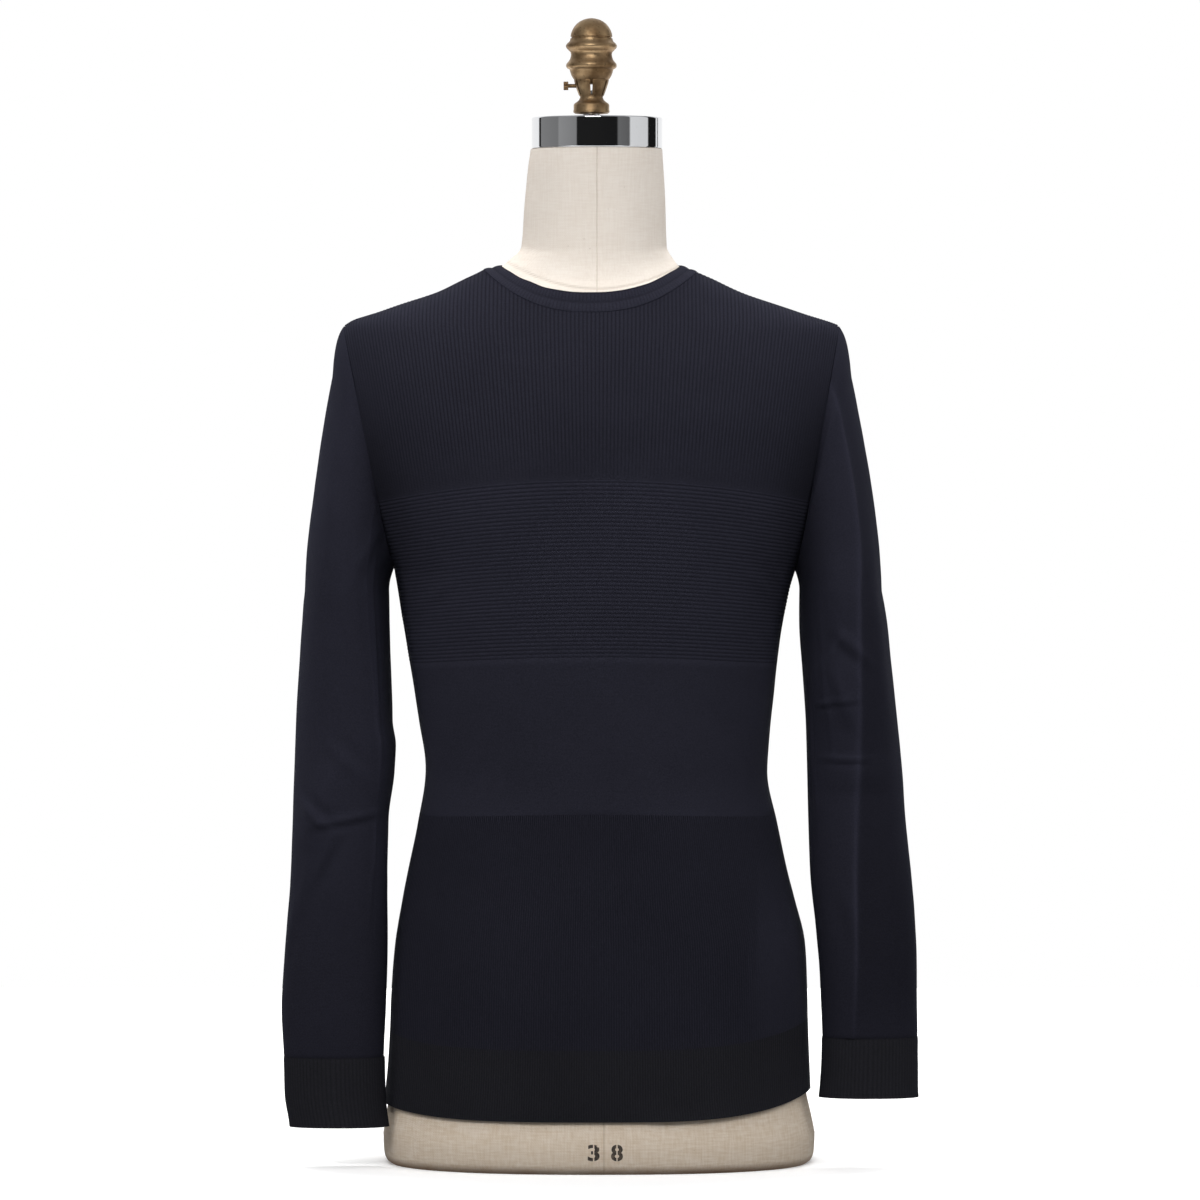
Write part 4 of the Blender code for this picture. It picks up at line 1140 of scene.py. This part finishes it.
def build_screw(material):
    """Small knurled thumb screw on the clamp's left."""
    bm = bmesh.new()
    lie = Matrix.Rotation(math.radians(90), 4, "Y")
    for radius, near, far in SCREW_PARTS:
        middle = Vector((POLE_X - (near + far) / 2, CAP_Y, SCREW_Z)) * MM
        bmesh.ops.create_cone(bm, cap_ends=True, segments=SCREW_STEPS, radius1=radius * MM,
                              radius2=radius * MM, depth=(far - near) * MM,
                              matrix=Matrix.Translation(middle) @ lie)
    for vertex in bm.verts:
        reach = vertex.co - Vector((vertex.co.x, CAP_Y * MM, SCREW_Z * MM))
        turn = math.atan2(reach.z, reach.y) / (2 * math.pi) * SCREW_STEPS
        if reach.length > 3 * MM and round(turn) % 2:
            vertex.co -= reach.normalized() * KNURL * MM
    add_piece("screw", mesh_of(bm, "screw", sharp=30), material, "aged_brass", "thumb_screw")


# Shader nodes

def feed(tree, socket, value):
    """Link a socket to another, or set its own value."""
    if isinstance(value, bpy.types.NodeSocket):
        tree.links.new(value, socket)
    elif value is not None:
        socket.default_value = (*value, 1.0) if socket.type == "RGBA" else value


def node(tree, kind, *values, named=(), **settings):
    """Add a node. Values fill its inputs in order, and named ones by their names."""
    made = tree.nodes.new("ShaderNode" + kind)
    for key, value in settings.items():
        setattr(made, key, value)
    for socket, value in zip(made.inputs, values):
        feed(tree, socket, value)
    for title, value in dict(named).items():
        feed(tree, made.inputs[title], value)
    return made


def maths(tree, operation, *values):
    return node(tree, "Math", *values, operation=operation).outputs[0]


def mix_colour(tree, share, first, second):
    """Mix of two colours, each a socket or a tuple."""
    made = node(tree, "Mix", data_type="RGBA")
    for i, value in ((0, share), (6, first), (7, second)):
        feed(tree, made.inputs[i], value)
    return made.outputs[2]


def remap(tree, value, low, high, to_low=0.0, to_high=1.0):
    return node(tree, "MapRange", value, low, high, to_low, to_high, clamp=True).outputs[0]


def noise_at(tree, vector, scale, detail):
    named = {"Vector": vector, "Scale": scale, "Detail": detail}
    return node(tree, "TexNoise", named=named).outputs[0]


def new_group(name, inputs, outputs):
    """Node group of named inputs, each a vector or a number with its value, and numbers."""
    group = bpy.data.node_groups.new(name, "ShaderNodeTree")
    for title, value in inputs.items():
        kind = "NodeSocketVector" if value is None else "NodeSocketFloat"
        socket = group.interface.new_socket(title, in_out="INPUT", socket_type=kind)
        if value is not None:
            socket.default_value = value
    for title in outputs:
        group.interface.new_socket(title, in_out="OUTPUT", socket_type="NodeSocketFloat")
    given, put = (group.nodes.new(f"NodeGroup{side}") for side in ("Input", "Output"))
    return group, given.outputs, put.inputs


def place_group(tree, group, **named):
    """Put a group in a material, and return its outputs."""
    return node(tree, "Group", named=named, node_tree=group).outputs


def stitch_group():
    """Columns of V stitches: their height and how deep the yarn's shadow is."""
    group, given, put = new_group(
        "knit stitches", {"Cloth": None, "Wale": 0.0013, "Course": 0.001}, ("Height", "Shade"))
    split = node(group, "SeparateXYZ", given["Cloth"]).outputs
    across = maths(group, "DIVIDE", split[0], given["Wale"])
    side = maths(group, "ABSOLUTE", maths(group, "SUBTRACT", maths(group, "FRACT", across), 0.5))
    up = maths(group, "DIVIDE", split[1], given["Course"])
    slanted = maths(group, "SUBTRACT", up, maths(group, "MULTIPLY", side, 1.6))
    row = maths(group, "SINE", maths(group, "MULTIPLY", slanted, 2 * math.pi))
    leg = maths(group, "SINE", maths(group, "MULTIPLY", side, 2 * math.pi))
    yarn = maths(group, "MULTIPLY", maths(group, "MULTIPLY_ADD", row, 0.35, 0.65), leg)
    feed(group, put["Height"], yarn)
    feed(group, put["Shade"], maths(group, "SUBTRACT", 1.0, yarn))
    return group


def mottle_group():
    """Broad and fine unevenness from 0 to 1, for dye, dust and handling."""
    group, given, put = new_group(
        "mottle", {"Position": None, "Broad": 12.0, "Fine": 400.0}, ("Broad", "Fine"))
    for title, detail in (("Broad", 3.0), ("Fine", 2.0)):
        feed(group, put[title], noise_at(group, given["Position"], given[title], detail))
    return group


def weave_group():
    """Plain weave of uneven threads that cross, by the object's own axes."""
    group, given, put = new_group(
        "canvas weave", {"Position": None, "Thread": 0.0011}, ("Height", "Slub"))
    split = node(group, "SeparateXYZ", given["Position"]).outputs
    around = maths(group, "ADD", split[0], maths(group, "MULTIPLY", split[1], 0.55))
    threads, slubs = [], []
    for place, stretch in ((around, (0.12, 0.12, 1.0)), (split[2], (1.0, 1.0, 0.06))):
        turns = maths(group, "DIVIDE", place, given["Thread"])
        threads.append(maths(group, "SINE", maths(group, "MULTIPLY", turns, 2 * math.pi)))
        pulled = node(group, "Mapping", given["Position"], named={"Scale": stretch})
        slubs.append(noise_at(group, pulled.outputs[0], 700.0, 1.0))
    crossed = maths(group, "MULTIPLY", *threads)
    feed(group, put["Height"], maths(group, "MULTIPLY_ADD", crossed, 0.5, 0.5))
    feed(group, put["Slub"], maths(group, "MULTIPLY", maths(group, "ADD", *slubs), 0.5))
    return group


STITCHES = stitch_group()
MOTTLE = mottle_group()
WEAVE = weave_group()


# Materials

def new_material(name, **named):
    """Material with its tree and its shader's inputs. Underscores stand for spaces."""
    material = bpy.data.materials.new(name)
    material.use_nodes = True
    tree = material.node_tree
    shader = tree.nodes["Principled BSDF"].inputs
    for title, value in named.items():
        feed(tree, shader[title.replace("_", " ")], value)
    return material, tree, shader


def bump(tree, shader, height, distance, strength):
    named = {"Strength": strength, "Distance": distance, "Height": height}
    feed(tree, shader["Normal"], node(tree, "Bump", named=named).outputs[0])


def attribute(tree, name):
    return node(tree, "Attribute", attribute_name=name).outputs["Fac"]


def object_place(tree):
    return node(tree, "TexCoord").outputs["Object"]


def knit_material(name, raised, deep, course=0.0011):
    """Fine wool knit: yarn colour, painted shade in grooves, seams and shaded places, stitches and
    a soft nap.
    """
    material, tree, shader = new_material(
        name, Roughness=0.92, Specular_IOR_Level=0.04, Sheen_Weight=0.015,
        Sheen_Roughness=0.45, Sheen_Tint=(0.42, 0.48, 0.72))
    cloth = node(tree, "UVMap", uv_map="cloth").outputs[0]
    stitches = place_group(tree, STITCHES, Cloth=cloth, Wale=0.0013, Course=course)
    mottle = place_group(tree, MOTTLE, Position=object_place(tree), Broad=9.0, Fine=900.0)
    # The mix towards deep is the cloth's tone with its painted shade and painted light.
    tone_and_painted_shade = maths(tree, "MULTIPLY", attribute(tree, "tone_and_painted_shade"), 0.85)
    share = maths(tree, "MULTIPLY_ADD", stitches["Shade"], 0.22, tone_and_painted_shade)
    yarn = mix_colour(tree, maths(tree, "MINIMUM", share, 1.0), raised, deep)
    dye = remap(tree, mottle["Broad"], 0.3, 0.7, 0.92, 1.08)
    fibre = remap(tree, mottle["Fine"], 0.3, 0.7, 0.86, 1.14)
    named = {"Scale": maths(tree, "MULTIPLY", dye, fibre)}
    tinted = node(tree, "VectorMath", yarn, named=named, operation="SCALE")
    feed(tree, shader["Base Color"], tinted.outputs[0])
    bump(tree, shader, maths(tree, "ADD", stitches["Height"], mottle["Fine"]), 0.0003, 0.5)
    return material


def canvas_material():
    """Taut canvas, paler at the neck and browner towards the base, with stains and a patchy dark
    rim at the foot, partly wear and partly painted shade.
    """
    material, tree, shader = new_material("canvas", Roughness=0.88, Specular_IOR_Level=0.25)
    where = object_place(tree)
    weave = place_group(tree, WEAVE, Position=where, Thread=0.0013)
    mottle = place_group(tree, MOTTLE, Position=where, Broad=14.0, Fine=230.0)
    height_z = node(tree, "SeparateXYZ", where).outputs[2]
    # Dark rim at the foot, patchy: partly wear and partly painted shade on the base's rounded
    # lower edge.
    rim = remap(tree, height_z, 0.0005, 0.0075, 1.0, 0.0)
    rim_wear_and_shade = remap(tree, mottle["Broad"], 0.3, 0.6, 0.35, 0.9)
    canvas = (0.80, 0.725, 0.645)
    for share, colour in (
        (remap(tree, height_z, 0.06, 0.70, 1.0, 0.0), (0.65, 0.53, 0.40)),
        (remap(tree, mottle["Broad"], 0.35, 0.75, 0.0, 0.22), (0.56, 0.44, 0.33)),
        (remap(tree, weave["Slub"], 0.35, 0.65, 0.0, 0.34), (0.92, 0.87, 0.80)),
        (maths(tree, "MULTIPLY", rim, rim_wear_and_shade), (0.23, 0.12, 0.055)),
        (remap(tree, mottle["Fine"], 0.72, 0.78, 0.0, 0.25), (0.30, 0.22, 0.15)),
        # Darker along the seams: painted shade in their dents.
        (maths(tree, "MULTIPLY", attribute(tree, "tone_and_painted_shade"), 0.42), (0.34, 0.26, 0.19)),
    ):
        canvas = mix_colour(tree, share, canvas, colour)
    feed(tree, shader["Base Color"], canvas)
    bump(tree, shader, maths(tree, "ADD", weave["Height"], weave["Slub"]), 0.00025, 0.45)
    return material


def ink_material():
    """Stencil ink that is a little uneven."""
    material, tree, shader = new_material("stencil ink", Roughness=0.7)
    mottle = place_group(tree, MOTTLE, Position=object_place(tree), Broad=300.0, Fine=1500.0)
    worn = remap(tree, mottle["Broad"], 0.45, 0.75, 0.0, 0.5)
    ink = mix_colour(tree, worn, (0.022, 0.016, 0.012), (0.20, 0.15, 0.11))
    feed(tree, shader["Base Color"], ink)
    return material


def metal_material(name, bright, dull, roughness, wear_scale, spread):
    """Metal with a patchy finish. Spread is how much duller its patches are."""
    material, tree, shader = new_material(name, Metallic=1.0)
    mottle = place_group(tree, MOTTLE, Position=object_place(tree), Broad=wear_scale,
                         Fine=wear_scale * 9)
    metal = mix_colour(tree, remap(tree, mottle["Broad"], 0.38, 0.66), bright, dull)
    pits = remap(tree, mottle["Fine"], 0.62, 0.74, 0.0, 0.6 * spread)
    feed(tree, shader["Base Color"], mix_colour(tree, pits, metal, (0.03, 0.018, 0.008)))
    rough = remap(tree, mottle["Broad"], 0.35, 0.7, roughness, roughness + 0.25 * spread)
    feed(tree, shader["Roughness"], rough)
    bump(tree, shader, mottle["Fine"], 0.0001, 0.25 * spread)
    return material


# Studio

FLOOR_HALF = 1.6
CAMERA_DISTANCE = 5.5
CAMERA_Z = 0.63
SENSOR = 36
FRAME_WIDTH = 0.984
FRAME_CENTRE = Vector((0.0025, 0.0, 0.461))

Light = namedtuple("Light", "name place target size power")
KEY_LIGHT = Light("key", (-0.3, -2.4, 2.0), (0, 0, 0.6), (1.2, 0.9), 9)
KEY_SPREAD = 100
SOFT_LIGHTS = (
    Light("left", (-2.4, -1.8, 2.2), (0, 0, 0.5), (1.8, 1.8), 43),
    Light("right", (2.4, -1.8, 2.2), (0, 0, 0.5), (1.8, 1.8), 45),
    Light("top", (0, 0.4, 3.2), (0, 0.4, 0), (3.4, 2.4), 42),
    Light("rear", (0, 1.4, 3.0), (0, 2.6, 0.7), (5.0, 0.8), 160),
)

# What the shiny metal sees of the studio, by the turn: 0.5 is straight behind the camera
STUDIO_BANDS = (
    (0.000, 1.00), (0.154, 1.00), (0.157, 0.01), (0.172, 0.01), (0.175, 0.24),
    (0.299, 0.20), (0.302, 0.30), (0.398, 0.24), (0.402, 0.014), (0.600, 0.012),
    (0.606, 0.16), (0.666, 0.13), (0.670, 0.80), (0.782, 0.74), (0.786, 0.010),
    (0.854, 0.010), (0.858, 0.90), (0.872, 0.90), (0.875, 0.02), (0.880, 0.02),
    (0.883, 1.00), (1.000, 1.00),
)


def facing(place, target):
    return (Vector(target) - Vector(place)).to_track_quat("-Z", "Y").to_euler()


def make_camera():
    data = bpy.data.cameras.new("camera")
    camera = add_object("camera", data)
    camera.location = (FRAME_CENTRE.x, -CAMERA_DISTANCE, CAMERA_Z)
    camera.rotation_euler = facing(camera.location, FRAME_CENTRE)
    data.sensor_width = SENSOR
    data.lens = SENSOR * (FRAME_CENTRE - camera.location).length / FRAME_WIDTH
    bpy.context.scene.camera = camera


def area_light(light):
    data = bpy.data.lights.new(light.name, "AREA")
    data.shape = "RECTANGLE"
    data.size, data.size_y = light.size
    data.energy = light.power
    made = add_object(light.name, data)
    made.location = light.place
    made.rotation_euler = facing(light.place, light.target)
    return made


def make_floor():
    """Pale level floor that glows faintly, painted light that lightens the shadows on it, with
    nothing behind it that would hide the object from the back.
    """
    bm = bmesh.new()
    bmesh.ops.create_grid(bm, x_segments=1, y_segments=1, size=FLOOR_HALF)
    floor = add_object("floor", mesh_of(bm, "floor", smooth=False))
    # The faint glow is painted light that lightens the shadows on the floor.
    pale = new_material("pale floor", Base_Color=(0.93, 0.93, 0.93), Roughness=0.9,
                        Emission_Color=(1.0, 1.0, 1.0), Emission_Strength=0.2)
    floor.data.materials.append(pale[0])
    floor.visible_diffuse = False


def make_world():
    """Even pale light, with a darker room in front for the shiny metal to show."""
    world = bpy.data.worlds.new("studio")
    bpy.context.scene.world = world
    world.use_nodes = True
    tree = world.node_tree
    split = node(tree, "SeparateXYZ", node(tree, "TexCoord").outputs["Generated"]).outputs
    turn = maths(tree, "ARCTAN2", split[0], maths(tree, "MULTIPLY", split[1], -1.0))
    ramp = node(tree, "ValToRGB", maths(tree, "MULTIPLY_ADD", turn, 0.5 / math.pi, 0.5))
    marks = ramp.color_ramp.elements
    marks.remove(marks[1])
    for position, grey in STUDIO_BANDS:
        mark = marks.new(position) if position else marks[0]
        mark.color = (grey, grey, grey, 1)
    overhead = remap(tree, split[2], 0.45, 0.8)
    room = mix_colour(tree, overhead, ramp.outputs[0], (0.42, 0.42, 0.43))
    rays = node(tree, "LightPath").outputs
    light = mix_colour(tree, rays["Is Glossy Ray"], (0.20, 0.20, 0.205), room)
    seen = mix_colour(tree, rays["Is Camera Ray"], light, (1.0, 1.0, 1.0))
    feed(tree, tree.nodes["Background"].inputs["Color"], seen)


def make_studio():
    make_camera()
    make_floor()
    make_world()
    area_light(KEY_LIGHT).data.spread = math.radians(KEY_SPREAD)
    for light in SOFT_LIGHTS:
        area_light(light).visible_glossy = False
    bpy.context.scene.view_settings.view_transform = "Standard"


make_studio()

PANEL_KNIT = knit_material("navy knit", (0.0310, 0.0312, 0.0465), (0.0040, 0.0040, 0.0054))
RIB_KNIT = knit_material("navy rib knit", (0.0310, 0.0310, 0.0380), (0.0040, 0.0040, 0.0046),
                         course=0.0010)
SLEEVE_KNIT = knit_material("navy sleeve knit", (0.0300, 0.0302, 0.0455),
                            (0.0040, 0.0040, 0.0054))
CHROME = metal_material("chrome", (0.80, 0.81, 0.83), (0.76, 0.77, 0.79), 0.05, 20.0, 0.05)
STEEL = metal_material("steel", (0.62, 0.63, 0.65), (0.50, 0.50, 0.52), 0.22, 60.0, 0.3)
BRASS = metal_material("aged brass", (0.47, 0.325, 0.18), (0.22, 0.135, 0.066), 0.36, 60.0, 1.0)

for lay, name, solid, knit, wall, slot, flat, area in (
    (lay_front, "front_knit", "front", PANEL_KNIT, CLOTH, "navy_knit", (0.50, 0.68), 0.285),
    (lay_back, "back_knit", "back", PANEL_KNIT, CLOTH, "navy_knit", (0.50, 0.70), 0.276),
    (lay_hem_band, "hem_rib", "hem_band", RIB_KNIT, RIB_CLOTH, "navy_rib", (1.00, 0.060), None),
    (lay_collar, "collar_rib", "collar", PANEL_KNIT, RIB_CLOTH, "navy_rib", (0.52, 0.022), 0.0102),
):
    cloth = Cloth(name)
    lay(cloth)
    piece = cloth.finish(knit, wall, slot, solid)

for side, arm in ARMS.items():
    cloth = Cloth(f"sleeve_{side}_knit")
    lay_sleeve(cloth, side, arm)
    sleeve = cloth.finish(SLEEVE_KNIT, CLOTH, "navy_knit", f"sleeve_{side}")
    cloth = Cloth(f"cuff_{side}_rib")
    lay_cuff(cloth, arm)
    cuff = cloth.finish(RIB_KNIT, RIB_CLOTH, "navy_rib", f"cuff_{side}")

build_form(canvas_material())
build_number(ink_material())
cap_spin = (CAP_PROFILE, 360, 0, 2 * TURN_STEPS)
build_turned("cap", [cap_spin], 32, CHROME, "chrome", "neck_cap", rim_x=-POLE_X)
build_turned("pole_end", [(POLE_PROFILE,)], 32, STEEL, "steel", "pole")
build_turned("turned_finial", [(FINIAL_PROFILE,)], 48, BRASS, "aged_brass", "finial")
build_turned("clamp", clamp_spins(), 40, BRASS, "aged_brass", "clamp_sleeve")
build_screw(BRASS)
